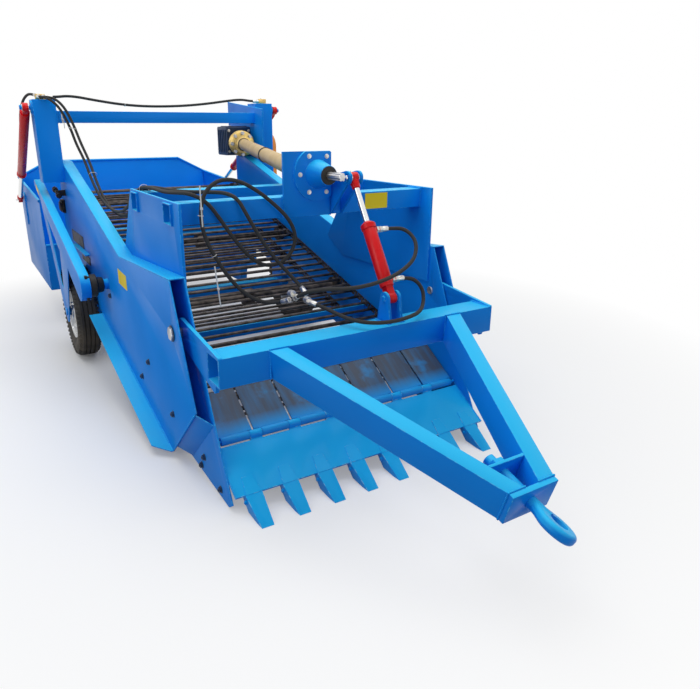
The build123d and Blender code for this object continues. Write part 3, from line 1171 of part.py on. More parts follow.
# Hoses. Each is a list of points (x, station, height) joined by arcs
tee_z = UPRIGHT_TOP + TEE_HIGH / 2
tee_front = TEE_STATION - TEE_DEEP / 2
tee_inner = TEE_X - TEE_WIDE / 2
tee_far = TEE_X + TEE_WIDE / 4
tee_near = TEE_X - TEE_WIDE / 4
port_x = LIFT_X + LIFT_BARREL_R + PORT_HIGH
lift_low = side_point(LIFT_LOWER, LIFT_UPPER, LIFT_PORTS[0], 0.0)
lift_high = side_point(LIFT_LOWER, LIFT_UPPER, LIFT_PORTS[1], 0.0)
tip_port = side_point(TIP_UPPER, TIP_LOWER, TIP_PORT, TIP_BARREL_R + PORT_HIGH)
tip_out = side_point(TIP_UPPER, TIP_LOWER, TIP_PORT, TIP_BARREL_R + 4 * PORT_HIGH)
HOSES = {
    "hose_lift_upper": (
        (port_x, *lift_high), (port_x + HOSE_LEAD, *lift_high), (306, 352, 1022), (326, 292, 975),
        (282, 240, 910),
        (190, 206, 872), (90, 184, 850), (-10, 176, 838), (-95, 186, 834), (-165, 226, 834), (-212, 292, 816),
        (-222, 370, 784), (-208, 440, 750)),
    "hose_lift_lower": (
        (port_x, *lift_low), (port_x + HOSE_LEAD, *lift_low), (302, 250, 806), (332, 236, 758),
        (314, 210, 706),
        (250, 156, 690), (165, 130, 686), (80, 122, 684), (0, 138, 686), (-56, 200, 688), (-80, 286, 696),
        (-108, 370, 714), (-146, 440, 730)),
    "hose_feed": (
        (-tee_far, tee_front, tee_z), (-tee_far, tee_front - HOSE_LEAD, tee_z), (-760, 2728, 1622),
        (-704, 2712, 1560),
        (-660, 2704, 1440), (-640, 2684, 1340), (-612, 2620, 1242), (-602, 2508, 1120), (-600, 2370, 1050),
        (-600, 2209, 1004), (-600, 2030, 984), (-600, 1853, 987), (-600, 1690, 1014), (-600, 1558, 1060),
        (-598, 1431, 1124), (-598, 1300, 1172), (-598, 1120, 1182), (-600, 900, 1180), (-596, 740, 1192),
        (-562, 664, 1192), (-505, 640, 1158), (-456, 638, 1090), (-412, 637, 1020), (-356, 636, 944),
        (-300, 635, 884), (-232, 634, 858), (-164, 633, 870), (-114, 632, 916), (-97, 630, 982),
        (-124, 628, 1052),
        (-189, 626, 1120), (-290, 622, 1200), (-384, 618, 1246), (-468, 614, 1246), (-530, 612, 1194),
        (-548, 610, 1110), (-536, 610, 1020), (-494, 610, 930), (-440, 606, 836), (-372, 600, 756),
        (-300, 580, 712), (-240, 540, 712), (-214, 480, 736)),
    "hose_return": (
        (-tee_near, tee_front, tee_z), (-tee_near, tee_front - HOSE_LEAD, tee_z),
        (-728, 2716, 1624), (-676, 2696, 1560), (-636, 2686, 1444), (-616, 2660, 1350), (-588, 2600, 1243),
        (-578, 2490, 1118), (-578, 2356, 1040), (-578, 2196, 986), (-578, 2020, 962), (-578, 1850, 962),
        (-578, 1690, 990), (-578, 1550, 1040), (-576, 1424, 1112), (-574, 1300, 1170), (-570, 1120, 1180),
        (-540, 930, 1178), (-470, 800, 1182), (-402, 712, 1186), (-366, 648, 1166), (-340, 620, 1100),
        (-293, 612, 1010), (-236, 606, 920), (-172, 596, 840), (-122, 566, 778), (-118, 500, 744)),
    "hose_cross": (
        (-tee_inner, TEE_STATION, tee_z), (-tee_inner + HOSE_LEAD, TEE_STATION, tee_z), (-610, 2852, 1648),
        (-440, 2840, 1618), (-262, 2838, 1594), (-85, 2838, 1586), (130, 2838, 1592), (330, 2840, 1610),
        (500, 2846, 1634), (620, 2854, 1648), (tee_inner - HOSE_LEAD, TEE_STATION, tee_z),
        (tee_inner, TEE_STATION, tee_z)),
    "hose_tip_left": (
        (TIP_X, *tip_port), (TIP_X, *tip_out), (892, 3246, 1545), (880, 3150, 1612), (862, 3030, 1652),
        (838, 2950, 1660), (TEE_X, 2892, tee_z)),
    "hose_tip_right": (
        (-TIP_X, *tip_port), (-TIP_X, *tip_out), (-892, 3246, 1545), (-880, 3150, 1612), (-862, 3030, 1652),
        (-838, 2950, 1660), (-TEE_X, 2892, tee_z)),
}
for name, route in HOSES.items():
    points = [Vector(x, y_at(station), height) for x, station, height in route]
    radii = []
    for before, corner, after in zip(points, points[1:], points[2:]):
        turn = radians((corner - before).get_angle(after - corner))
        run = min((corner - before).length, (after - corner).length)
        radii.append(HOSE_BEND_SHARE * run / tan(turn / 2))
    print(name, "radii", [round(radius) for radius in radii])
    with BuildPart() as hose:
        with BuildLine() as route_line:
            FilletPolyline(*points, radius=radii)
        with BuildSketch(Plane(origin=points[0], z_dir=(points[1] - points[0]).normalized())):
            Circle(HOSE_R)
        sweep(path=route_line.line)
    print(name, "length", round(sum(edge.length for edge in route_line.edges())))
    finish(hose, name)
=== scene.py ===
import json
import logging
from dataclasses import dataclass, field
from enum import Enum
from math import atan2, cos, hypot, pi, radians, sin, tau
from typing import Sequence

import bmesh
import bpy
from mathutils import Matrix, Vector


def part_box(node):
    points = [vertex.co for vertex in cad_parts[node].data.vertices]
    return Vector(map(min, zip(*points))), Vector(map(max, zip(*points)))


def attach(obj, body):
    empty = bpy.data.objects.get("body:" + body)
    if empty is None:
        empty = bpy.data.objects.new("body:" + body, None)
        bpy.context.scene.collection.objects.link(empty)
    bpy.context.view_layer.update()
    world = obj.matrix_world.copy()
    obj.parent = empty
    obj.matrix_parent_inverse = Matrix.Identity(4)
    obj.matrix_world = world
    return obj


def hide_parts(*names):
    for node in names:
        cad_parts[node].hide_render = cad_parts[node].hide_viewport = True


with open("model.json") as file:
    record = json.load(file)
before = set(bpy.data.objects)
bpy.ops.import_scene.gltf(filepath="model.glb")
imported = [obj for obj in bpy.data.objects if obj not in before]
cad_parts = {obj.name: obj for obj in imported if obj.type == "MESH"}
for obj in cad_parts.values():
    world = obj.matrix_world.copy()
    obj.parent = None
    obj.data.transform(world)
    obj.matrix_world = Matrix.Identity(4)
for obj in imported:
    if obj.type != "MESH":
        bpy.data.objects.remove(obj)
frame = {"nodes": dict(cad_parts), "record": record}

# A towed stone picker, dressed over its CAD frame. X runs to the machine's left, Y to its rear, Z up.
# Given places are (x, station, height); a station is measured behind the tine tips. Given
# places and sizes are in millimetres, and points of the shared frame in metres.
LOG = logging.getLogger("stone_picker")
MM = 0.001
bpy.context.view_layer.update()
TIP_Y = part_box("share_blade")[0].y
SIDES = {"left": 1, "right": -1}
SHARE_ANGLE = 32.0
LEFT, FRONT, UP = Vector((1, 0, 0)), Vector((0, -1, 0)), Vector((0, 0, 1))
Pair = tuple[float, float]
Pairs = tuple[Pair, ...]
Point = tuple[float, float, float]
Colour = tuple[float, float, float]
Socket = bpy.types.NodeSocket
Mesh = bpy.types.Mesh

# How the finishes are drawn: noise as (scale, detail), and the ranges of it that count.
MOTTLE_DETAIL, MOTTLE_RANGE, ROUGH_RANGE = 5.0, (0.35, 0.72), (0.3, 0.7)
GRAIN_DETAIL, GRAIN_DISTANCE = 2.0, 0.002
# The first range below is how far up a face must point to take the lighter top colour, which is painted light
# on the tops.
PAINTED_TOP_LIGHT_RANGE, COAT_ROUGH = (0.25, 0.95), 0.12
RUB_PATCH, RUB_RANGE = (9.0, 7.0), (0.16, 0.44)
STREAK, STREAK_RANGE = (30.0, 4.0, (1.0, 0.12, 0.12)), (0.3, 0.6, 0.78, 1.0)
CLOUD, CLOUD_RANGE, DUST_ROUGH = (9.0, 8.0), (0.38, 0.66), 0.4
CHIP, CHIP_RANGE = (55.0, 6.0), (0.50, 0.60)


def at(x: float, station: float, height: float) -> Vector:
    """A given place as a point of the shared frame, in metres."""
    return Vector((x * MM, TIP_Y + station * MM, height * MM))


def outward(sign: int) -> Vector:
    """The way out of the machine on one side."""
    return Vector((sign, 0, 0))


def turned(aim: Vector) -> Matrix:
    """The turn that lays Z along a direction."""
    return UP.rotation_difference(aim.normalized()).to_matrix().to_4x4()


class Canvas:
    """A node tree being drawn: adds nodes, sets their inputs and links them."""

    def __init__(self, tree: bpy.types.NodeTree) -> None:
        """Start on an empty tree."""
        self.tree = tree
        tree.nodes.clear()

    def add(self, kind: str, inputs: dict | None = None, **settings: object) -> bpy.types.Node:
        """Add a node.

        Args:
            kind: The node's type name.
            inputs: Values or output sockets for its input sockets, by name or index.
            settings: Attributes of the node itself.

        Returns:
            The new node.
        """
        node = self.tree.nodes.new(kind)
        for key, value in settings.items():
            setattr(node, key, value)
        for key, value in (inputs or {}).items():
            if isinstance(value, Socket):
                self.tree.links.new(value, node.inputs[key])
            else:
                node.inputs[key].default_value = value
        return node

    def ramp(self, source: Socket, low: float, high: float,
             start: float = 0.0, end: float = 1.0) -> Socket:
        """A value mapped from low..high to start..end, clamped."""
        node = self.add("ShaderNodeMapRange", {0: source, 1: low, 2: high, 3: start, 4: end})
        return node.outputs[0]

    def maths(self, operation: str, first: object, second: object = 0.0) -> Socket:
        """The result of a two-sided arithmetic node."""
        return self.add("ShaderNodeMath", {0: first, 1: second}, operation=operation).outputs[0]

    def mix(self, share: object, first: object, second: object) -> Socket:
        """Two colours mixed by a share."""
        node = self.add("ShaderNodeMix", data_type="RGBA")
        for index, value in ((0, share), (6, first), (7, second)):
            if isinstance(value, Socket):
                self.tree.links.new(value, node.inputs[index])
            elif index == 0:
                node.inputs[0].default_value = value
            else:
                node.inputs[index].default_value = (*value, 1.0)
        return node.outputs[2]

    def noise(self, coords: Socket, scale: float, detail: float = 3.0,
              stretch: Point | None = None) -> Socket:
        """A noise value on the given coordinates, stretched along an axis where asked."""
        if stretch:
            coords = self.add("ShaderNodeMapping", {0: coords, 3: stretch}).outputs[0]
        return self.add("ShaderNodeTexNoise", {"Vector": coords, "Scale": scale, "Detail": detail}).outputs[0]


@dataclass(frozen=True)
class Finish:
    """A surface finish: a base colour that is mottled, grained, dusted and worn at its edges.

    Faces that point up take painted light, and the worn edges also carry a painted highlight.
    """

    name: str
    slot: str
    colour: Colour
    mottle: Colour
    mottle_scale: float = 6.0
    mottle_share: float = 0.5
    rough: Pair = (0.3, 0.45)
    metallic: float = 0.0
    coat: float = 0.0
    grain_scale: float = 400.0
    grain_depth: float = 0.02
    stretch: Point | None = None
    # Lighter colour of the rounded edges: edge wear and a painted highlight along the edges.
    worn: Colour | None = None
    worn_edge_and_highlight_share: float = 0.0
    dust: Colour = (0.32, 0.27, 0.21)
    dust_height: float = 0.0
    dust_share: float = 0.0
    specular: float = 0.35
    # Lighter colour for faces that point up: painted light on the tops.
    painted_top_light: Colour | None = None
    rubbed: Colour | None = None
    rubbed_from: Pair = (0.0, 1.0)

    def material(self) -> bpy.types.Material:
        """The finish's material, made the first time it is asked for."""
        made = bpy.data.materials.get(self.name)
        return made or self._draw(bpy.data.materials.new(self.name))

    def _draw(self, material: bpy.types.Material) -> bpy.types.Material:
        """Draw the node tree of the finish.

        Args:
            material: The new, empty material.

        Returns:
            The same material.
        """
        material.use_nodes = True
        pen = Canvas(material.node_tree)
        source = pen.add("ShaderNodeTexCoord")
        coords = source.outputs["Object"]
        patch = pen.noise(coords, self.mottle_scale, MOTTLE_DETAIL, self.stretch)
        share = pen.ramp(patch, *MOTTLE_RANGE, 0.0, self.mottle_share)
        tint = pen.mix(share, self.colour, self.mottle)
        # Faces that point up are mixed towards the lighter top colour: painted light on the tops.
        if self.painted_top_light:
            upward = pen.add("ShaderNodeSeparateXYZ", {0: source.outputs["Normal"]}).outputs[2]
            tint = pen.mix(pen.ramp(upward, *PAINTED_TOP_LIGHT_RANGE), tint, self.painted_top_light)
        speck = pen.noise(coords, self.grain_scale, GRAIN_DETAIL, self.stretch)
        rough = pen.ramp(patch, *ROUGH_RANGE, *self.rough)
        tint = self._rub(pen, coords, tint)
        tint, rough = self._soil(pen, coords, tint, rough)
        tint = self._wear_and_highlight(pen, coords, tint)
        bump = pen.add("ShaderNodeBump", {"Strength": self.grain_depth, "Distance": GRAIN_DISTANCE,
                                          "Height": speck})
        shader = pen.add("ShaderNodeBsdfPrincipled", {
            "Base Color": tint, "Roughness": rough, "Metallic": self.metallic, "Normal": bump.outputs[0],
            "Coat Weight": self.coat, "Coat Roughness": COAT_ROUGH, "Specular IOR Level": self.specular})
        pen.add("ShaderNodeOutputMaterial", {"Surface": shader.outputs[0]})
        return material

    def _rub(self, pen: Canvas, coords: Socket, tint: Socket) -> Socket:
        """Rub the finish off up the slope of the share.

        Args:
            pen: The tree being drawn.
            coords: Object coordinates.
            tint: The colour so far.

        Returns:
            The colour, rubbed where stones slide over it.
        """
        if self.rubbed is None:
            return tint
        slope = radians(SHARE_ANGLE)
        along = pen.add("ShaderNodeVectorMath", {0: coords, 1: (0, cos(slope), sin(slope))},
                        operation="DOT_PRODUCT")
        reach = pen.maths("SUBTRACT", along.outputs["Value"], TIP_Y * cos(slope))
        share = pen.ramp(reach, *self.rubbed_from)
        patch = pen.ramp(pen.noise(coords, *RUB_PATCH), *RUB_RANGE)
        streak = pen.ramp(pen.noise(coords, *STREAK), *STREAK_RANGE)
        return pen.mix(pen.maths("MULTIPLY", pen.maths("MULTIPLY", share, patch), streak), tint, self.rubbed)

    def _soil(self, pen: Canvas, coords: Socket, tint: Socket,
              rough: Socket) -> tuple[Socket, Socket]:
        """Lay dry earth over the lower part of the surface.

        Args:
            pen: The tree being drawn.
            coords: Object coordinates.
            tint: The colour so far.
            rough: The roughness so far.

        Returns:
            The colour and the roughness with the dust on them.
        """
        if not self.dust_share:
            return tint, rough
        height = pen.add("ShaderNodeSeparateXYZ", {0: coords}).outputs[2]
        low = pen.ramp(height, 0.0, self.dust_height, self.dust_share, 0.0)
        cloud = pen.ramp(pen.noise(coords, *CLOUD), *CLOUD_RANGE)
        amount = pen.maths("MULTIPLY", low, cloud)
        rougher = pen.maths("ADD", rough, pen.maths("MULTIPLY", amount, DUST_ROUGH))
        return pen.mix(amount, tint, self.dust), rougher

    def _wear_and_highlight(self, pen: Canvas, coords: Socket,
              tint: Socket) -> Socket:
        """Lighten the softened edges in chips, as wear and as a painted highlight along the edges.

        Args:
            pen: The tree being drawn.
            coords: Object coordinates.
            tint: The colour so far.

        Returns:
            The colour with its worn edges.
        """
        if self.worn is None:
            return tint
        # Chips on the rounded edges take the lighter edge colour: edge wear and a painted edge highlight.
        edge = pen.add("ShaderNodeAttribute", attribute_name="edge").outputs["Fac"]
        chip = pen.ramp(pen.noise(coords, *CHIP), *CHIP_RANGE, 0.0, self.worn_edge_and_highlight_share)
        return pen.mix(pen.maths("MULTIPLY", edge, chip), tint, self.worn)


class Finishes(Enum):
    """The finishes of the machine."""

    # The colours for faces that point up are painted light on the tops; the lighter edge colours are edge wear
    # with a painted edge highlight.
    BLUE = Finish("blue_enamel", "blue_paint", (0.003, 0.255, 0.860), (0.003, 0.215, 0.760), 3.0, 0.6,
                  (0.34, 0.46), coat=0.03, grain_scale=260.0, grain_depth=0.018, worn=(0.10, 0.56, 0.95),
                  worn_edge_and_highlight_share=0.75, dust_height=0.30, dust_share=0.06, specular=0.10,
                  painted_top_light=(0.028, 0.550, 0.970))
    # The share's enamel is lighter than the frame's blue enamel: painted light that lifts the shade under the
    # drawbar.
    SHARE = Finish("share_enamel", "blue_paint", (0.003, 0.330, 0.920), (0.008, 0.260, 0.800), 7.0, 0.7,
                   (0.34, 0.48), coat=0.05, grain_scale=200.0, grain_depth=0.04, worn=(0.28, 0.66, 0.92),
                   worn_edge_and_highlight_share=0.9, specular=0.18, painted_top_light=(0.008, 0.520, 0.980))
    FLAP = Finish("rubbed_flap_steel", "worn_steel", (0.004, 0.260, 0.780), (0.012, 0.210, 0.600), 9.0, 0.7,
                  (0.40, 0.6), grain_scale=300.0, grain_depth=0.06, worn=(0.12, 0.50, 0.86), worn_edge_and_highlight_share=0.8,
                  specular=0.3, painted_top_light=(0.010, 0.400, 0.860), rubbed=(0.070, 0.090, 0.118),
                  rubbed_from=(0.420, 0.500))
    WEB = Finish("oiled_rod_steel", "worn_steel", (0.030, 0.026, 0.024), (0.16, 0.135, 0.12), 24.0, 0.8,
                 (0.32, 0.55), 0.75, grain_scale=500.0, grain_depth=0.05)
    STEEL = Finish("turned_steel", "worn_steel", (0.52, 0.52, 0.53), (0.36, 0.35, 0.34), 30.0, 0.6,
                   (0.25, 0.42), 1.0, grain_scale=600.0, grain_depth=0.04, worn=(0.8, 0.8, 0.8),
                   worn_edge_and_highlight_share=0.7)
    ZINC = Finish("zinc_plate", "zinc", (0.62, 0.61, 0.58), (0.48, 0.47, 0.44), 40.0, 0.7, (0.28, 0.45), 1.0,
                  grain_depth=0.03)
    GOLD = Finish("yellow_zinc", "zinc", (0.62, 0.44, 0.14), (0.42, 0.34, 0.20), 26.0, 0.7, (0.28, 0.45), 1.0,
                  grain_depth=0.04, worn=(0.75, 0.66, 0.45), worn_edge_and_highlight_share=0.8)
    CHROME = Finish("rod_chrome", "rod_chrome", (0.80, 0.81, 0.82), (0.70, 0.71, 0.72), 20.0, 0.4,
                    (0.06, 0.12), 1.0, grain_depth=0.004)
    RED = Finish("cylinder_red", "red_paint", (0.80, 0.004, 0.008), (0.66, 0.004, 0.006), 10.0, 0.6,
                 (0.22, 0.36), coat=0.06, specular=0.22, grain_scale=260.0, grain_depth=0.02)
    TAN = Finish("guard_plastic", "guard_tan", (0.62, 0.44, 0.20), (0.50, 0.35, 0.16), 8.0, 0.6, (0.42, 0.58),
                 grain_depth=0.03)
    DARK = Finish("gearbox_casting", "gearbox_dark", (0.020, 0.055, 0.13), (0.03, 0.04, 0.06), 14.0, 0.6,
                  (0.4, 0.6), grain_scale=180.0, grain_depth=0.12)
    ORANGE = Finish("guard_orange", "guard_orange", (0.80, 0.20, 0.015), (0.66, 0.15, 0.01), 6.0, 0.5,
                    (0.28, 0.42), coat=0.3, grain_scale=260.0, grain_depth=0.02, worn=(0.9, 0.45, 0.2),
                    worn_edge_and_highlight_share=0.6)
    WHITE = Finish("rim_white", "rim_white", (0.78, 0.78, 0.76), (0.62, 0.61, 0.58), 12.0, 0.5, (0.3, 0.45),
                   coat=0.25, grain_depth=0.02, dust_height=0.35, dust_share=0.4)
    TYRE = Finish("tyre_rubber", "tyre", (0.012, 0.012, 0.013), (0.030, 0.028, 0.026), 20.0, 0.7, (0.6, 0.85),
                  grain_scale=350.0, grain_depth=0.14, dust_height=0.5, dust_share=0.35)
    HOSE = Finish("hose_rubber", "hose_rubber", (0.010, 0.010, 0.011), (0.026, 0.025, 0.025), 40.0, 0.6,
                  (0.38, 0.58), grain_scale=900.0, grain_depth=0.10)
    BRASS = Finish("cast_brass", "brass", (0.62, 0.42, 0.15), (0.42, 0.29, 0.12), 60.0, 0.6, (0.25, 0.42),
                   1.0, grain_depth=0.05, worn=(0.85, 0.68, 0.35), worn_edge_and_highlight_share=0.8)
    YELLOW = Finish("blank_plate_yellow", "", (0.95, 0.72, 0.02), (0.90, 0.66, 0.02), 30.0, 0.5,
                    (0.35, 0.5), specular=0.25, grain_depth=0.01)
    NYLON = Finish("tie_nylon", "", (0.80, 0.79, 0.75), (0.70, 0.68, 0.63), 60.0, 0.5, (0.4, 0.55),
                   grain_depth=0.03)
    BLACK = Finish("black_iron", "gearbox_dark", (0.014, 0.014, 0.015), (0.045, 0.04, 0.035), 30.0, 0.7,
                   (0.4, 0.65), 0.4, grain_scale=240.0, grain_depth=0.10)


def place(name: str, mesh: Mesh, finish: Finishes, body: str) -> bpy.types.Object:
    """Put a finished mesh into the scene.

    Args:
        name: The piece's name.
        mesh: Its mesh, already in the shared frame.
        finish: What it is finished with.
        body: The CAD body it moves with.

    Returns:
        The new object.
    """
    piece = bpy.data.objects.new(name, mesh)
    bpy.context.scene.collection.objects.link(piece)
    mesh.materials.clear()
    mesh.materials.append(finish.value.material())
    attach(piece, body)
    LOG.info("%s: %d faces on %s", name, len(mesh.polygons), body)
    return piece


class Workpiece:
    """A mesh being made from plain solids. Places are points in metres, sizes are in millimetres."""

    def __init__(self) -> None:
        """Start with nothing."""
        self.bm = bmesh.new()

    def _frame(self, origin: Vector, aim: Vector) -> Matrix:
        """A frame at origin whose Z runs along aim."""
        return Matrix.Translation(origin) @ turned(aim)

    def cone(self, start: Vector, end: Vector, radius: float, tip: float | None = None,
             sides: int = 24) -> None:
        """A cylinder or cone between two points.

        Args:
            start: Middle of its foot.
            end: Middle of its tip.
            radius: Radius of its foot.
            tip: Radius of its tip, where that differs.
            sides: Faces round it.
        """
        axis = end - start
        bmesh.ops.create_cone(self.bm, cap_ends=True, segments=sides, radius1=radius * MM,
                              radius2=(radius if tip is None else tip) * MM, depth=axis.length,
                              matrix=self._frame((start + end) / 2, axis))

    def hexagon(self, base: Vector, aim: Vector, across: float, high: float) -> None:
        """A hexagon head or nut standing on a point."""
        self.cone(base, base + aim.normalized() * high * MM, across / 3 ** 0.5, sides=6)

    def block(self, centre: Vector, size: Point, turn: Matrix | None = None) -> None:
        """A box, turned about its centre where asked."""
        scale = Matrix.Diagonal((*(Vector(size) * MM), 1.0))
        bmesh.ops.create_cube(self.bm, size=1.0,
                              matrix=Matrix.Translation(centre) @ (turn or Matrix.Identity(4)) @ scale)

    def plate(self, outline: Sequence[Vector], thick: Vector) -> None:
        """A plate with a flat outline.

        Args:
            outline: Its corners in order.
            thick: From its first face to its second, in metres.
        """
        low = [self.bm.verts.new(point) for point in outline]
        high = [self.bm.verts.new(point + thick) for point in outline]
        self.bm.faces.new(low)
        self.bm.faces.new(high)
        for index in range(len(outline)):
            after = (index + 1) % len(outline)
            self.bm.faces.new((low[index], low[after], high[after], high[index]))

    def lathe(self, origin: Vector, aim: Vector, profile: Sequence[Pair], sides: int = 32,
              capped: bool = True) -> None:
        """A turned shape.

        Args:
            origin: Where its axis starts.
            aim: Along its axis.
            profile: (distance along the axis, radius) from end to end.
            sides: Faces round it.
            capped: Closed by flat ends; otherwise the profile closes on itself.
        """
        matrix = self._frame(origin, aim)
        angles = [tau * step / sides for step in range(sides)]
        rings = [[self.bm.verts.new(matrix @ (Vector((radius * cos(angle), radius * sin(angle), along)) * MM))
                  for angle in angles] for along, radius in profile]
        for ring, following in zip(rings, rings[1:] + ([] if capped else rings[:1])):
            for step in range(sides):
                after = (step + 1) % sides
                self.bm.faces.new((ring[step], ring[after], following[after], following[step]))
        if capped:
            self.bm.faces.new(rings[0])
            self.bm.faces.new(rings[-1])

    def ring(self, centre: Vector, aim: Vector, radius: float, wire: float, sides: int = 32,
             wires: int = 10) -> None:
        """A round ring of round wire.

        Args:
            centre: Its middle.
            aim: Along its axis.
            radius: Radius of the ring.
            wire: Radius of the wire.
            sides: Faces round the ring.
            wires: Faces round the wire.
        """
        matrix = self._frame(centre, aim)
        loops = []
        for step in range(sides):
            out = Vector((cos(tau * step / sides), sin(tau * step / sides), 0))
            loops.append([self.bm.verts.new(matrix @ ((out * (radius + wire * cos(tau * turn / wires))
                                                       + UP * wire * sin(tau * turn / wires)) * MM))
                          for turn in range(wires)])
        for step in range(sides):
            here, there = loops[step], loops[(step + 1) % sides]
            for turn in range(wires):
                after = (turn + 1) % wires
                self.bm.faces.new((here[turn], here[after], there[after], there[turn]))

    def mesh(self, name: str, soften: float = 0.0, smooth: float = 40.0) -> Mesh:
        """Close the work.

        Args:
            name: The mesh's name.
            soften: Width of the rounding of its edges.
            smooth: Angle up to which faces are shaded as one, in degrees.

        Returns:
            The finished mesh.
        """
        bmesh.ops.recalc_face_normals(self.bm, faces=self.bm.faces)
        mesh = bpy.data.meshes.new(name)
        self.bm.to_mesh(mesh)
        self.bm.free()
        return softened(mesh, soften * MM) if soften else shaded(mesh, smooth)


def shaded(mesh: Mesh, angle: float) -> Mesh:
    """Shade a mesh smooth, apart from edges sharper than an angle in degrees."""
    mesh.shade_smooth()
    mesh.set_sharp_from_angle(angle=radians(angle))
    return mesh


def evaluated(mesh: Mesh, dress: object) -> Mesh:
    """A plain mesh of what modifiers make of another mesh.

    Args:
        mesh: The starting mesh, which is used up.
        dress: A function that puts the modifiers on an object.

    Returns:
        The resulting mesh.
    """
    bench = bpy.data.objects.new("bench", mesh)
    bpy.context.scene.collection.objects.link(bench)
    dress(bench)
    bpy.context.view_layer.update()
    graph = bpy.context.evaluated_depsgraph_get()
    made = bpy.data.meshes.new_from_object(bench.evaluated_get(graph), depsgraph=graph)
    made.name = mesh.name + "_made"
    bpy.data.objects.remove(bench)
    bpy.data.meshes.remove(mesh)
    return made


def softened(mesh: Mesh, width: float) -> Mesh:
    """Round a mesh's edges, and mark the rounding in its edge attribute.

    Args:
        mesh: A mesh with sharp edges.
        width: Width of the rounding, in metres.

    Returns:
        The rounded mesh.
    """
    mesh.shade_smooth()
    for _ in range(2):
        mesh.materials.append(None)

    def bevel(bench: bpy.types.Object) -> None:
        """Put the rounding on the bench."""
        step = bench.modifiers.new("round", "BEVEL")
        step.width = width
        step.segments = 2
        step.limit_method = "ANGLE"
        step.angle_limit = radians(35)
        step.harden_normals = True
        step.material = 1

    made = evaluated(mesh, bevel)
    marks = [float(face.material_index) for face in made.polygons]
    attribute = made.attributes.new("edge", "FLOAT", "FACE")
    attribute.data.foreach_set("value", marks)
    made.polygons.foreach_set("material_index", [0] * len(marks))
    return made


class Trees:
    """The geometry node trees that repeat a part."""

    @staticmethod
    def _group(name: str, sockets: Sequence[tuple[str, str]]) -> tuple[bpy.types.NodeTree, Canvas]:
        """A new tree with a geometry input and output and the named inputs.

        Args:
            name: The tree's name.
            sockets: Name and socket type of each further input.

        Returns:
            The tree, and the pen that draws it.
        """
        tree = bpy.data.node_groups.new(name, "GeometryNodeTree")
        tree.interface.new_socket("Geometry", in_out="INPUT", socket_type="NodeSocketGeometry")
        for label, kind in sockets:
            tree.interface.new_socket(label, in_out="INPUT", socket_type=kind)
        tree.interface.new_socket("Geometry", in_out="OUTPUT", socket_type="NodeSocketGeometry")
        return tree, Canvas(tree)

    @staticmethod
    def on_points() -> bpy.types.NodeTree:
        """A part on each point of a mesh, its Z along the point's aim and its X along the point's lean."""
        made = bpy.data.node_groups.get("part_on_points")
        if made:
            return made
        tree, pen = Trees._group("part_on_points", (("Part", "NodeSocketObject"), ("Size", "NodeSocketFloat"),
                                                    ("Finish", "NodeSocketMaterial")))
        given = pen.add("NodeGroupInput")
        part = pen.add("GeometryNodeObjectInfo", {"Object": given.outputs["Part"]})
        aim = pen.add("GeometryNodeInputNamedAttribute", {"Name": "aim"}, data_type="FLOAT_VECTOR")
        lean = pen.add("GeometryNodeInputNamedAttribute", {"Name": "lean"}, data_type="FLOAT_VECTOR")
        turn = pen.add("FunctionNodeAxesToRotation", {0: aim.outputs[0], 1: lean.outputs[0]},
                       primary_axis="Z", secondary_axis="X")
        set_out = pen.add("GeometryNodeInstanceOnPoints",
                          {"Points": given.outputs["Geometry"], "Instance": part.outputs["Geometry"],
                           "Rotation": turn.outputs[0], "Scale": given.outputs["Size"]})
        real = pen.add("GeometryNodeRealizeInstances", {0: set_out.outputs[0]})
        coated = pen.add("GeometryNodeSetMaterial",
                         {"Geometry": real.outputs[0], "Material": given.outputs["Finish"]})
        pen.add("NodeGroupOutput", {0: coated.outputs[0]})
        return tree

    @staticmethod
    def along_paths() -> bpy.types.NodeTree:
        """A part at even steps along the edges of a mesh, its X along the path, varied a little in size."""
        made = bpy.data.node_groups.get("part_along_paths")
        if made:
            return made
        tree, pen = Trees._group("part_along_paths", (
            ("Part", "NodeSocketObject"), ("Step", "NodeSocketFloat"), ("Vary", "NodeSocketFloat"),
            ("Finish", "NodeSocketMaterial")))
        given = pen.add("NodeGroupInput")
        path = pen.add("GeometryNodeMeshToCurve", {"Mesh": given.outputs["Geometry"]})
        points = pen.add("GeometryNodeCurveToPoints",
                         {"Curve": path.outputs[0], "Length": given.outputs["Step"]}, mode="LENGTH")
        part = pen.add("GeometryNodeObjectInfo", {"Object": given.outputs["Part"]})
        low = pen.add("ShaderNodeMath", {0: 1.0, 1: given.outputs["Vary"]}, operation="SUBTRACT")
        high = pen.add("ShaderNodeMath", {0: 1.0, 1: given.outputs["Vary"]}, operation="ADD")
        size = pen.add("FunctionNodeRandomValue", {2: low.outputs[0], 3: high.outputs[0], "Seed": 7})
        aim = pen.add("FunctionNodeAxesToRotation",
                      {0: points.outputs["Normal"], 1: points.outputs["Tangent"]},
                      primary_axis="Z", secondary_axis="X")
        set_out = pen.add("GeometryNodeInstanceOnPoints",
                          {"Points": points.outputs["Points"], "Instance": part.outputs["Geometry"],
                           "Rotation": aim.outputs[0], "Scale": size.outputs[1]})
        real = pen.add("GeometryNodeRealizeInstances", {0: set_out.outputs[0]})
        coated = pen.add("GeometryNodeSetMaterial",
                         {"Geometry": real.outputs[0], "Material": given.outputs["Finish"]})
        pen.add("NodeGroupOutput", {0: coated.outputs[0]})
        return tree


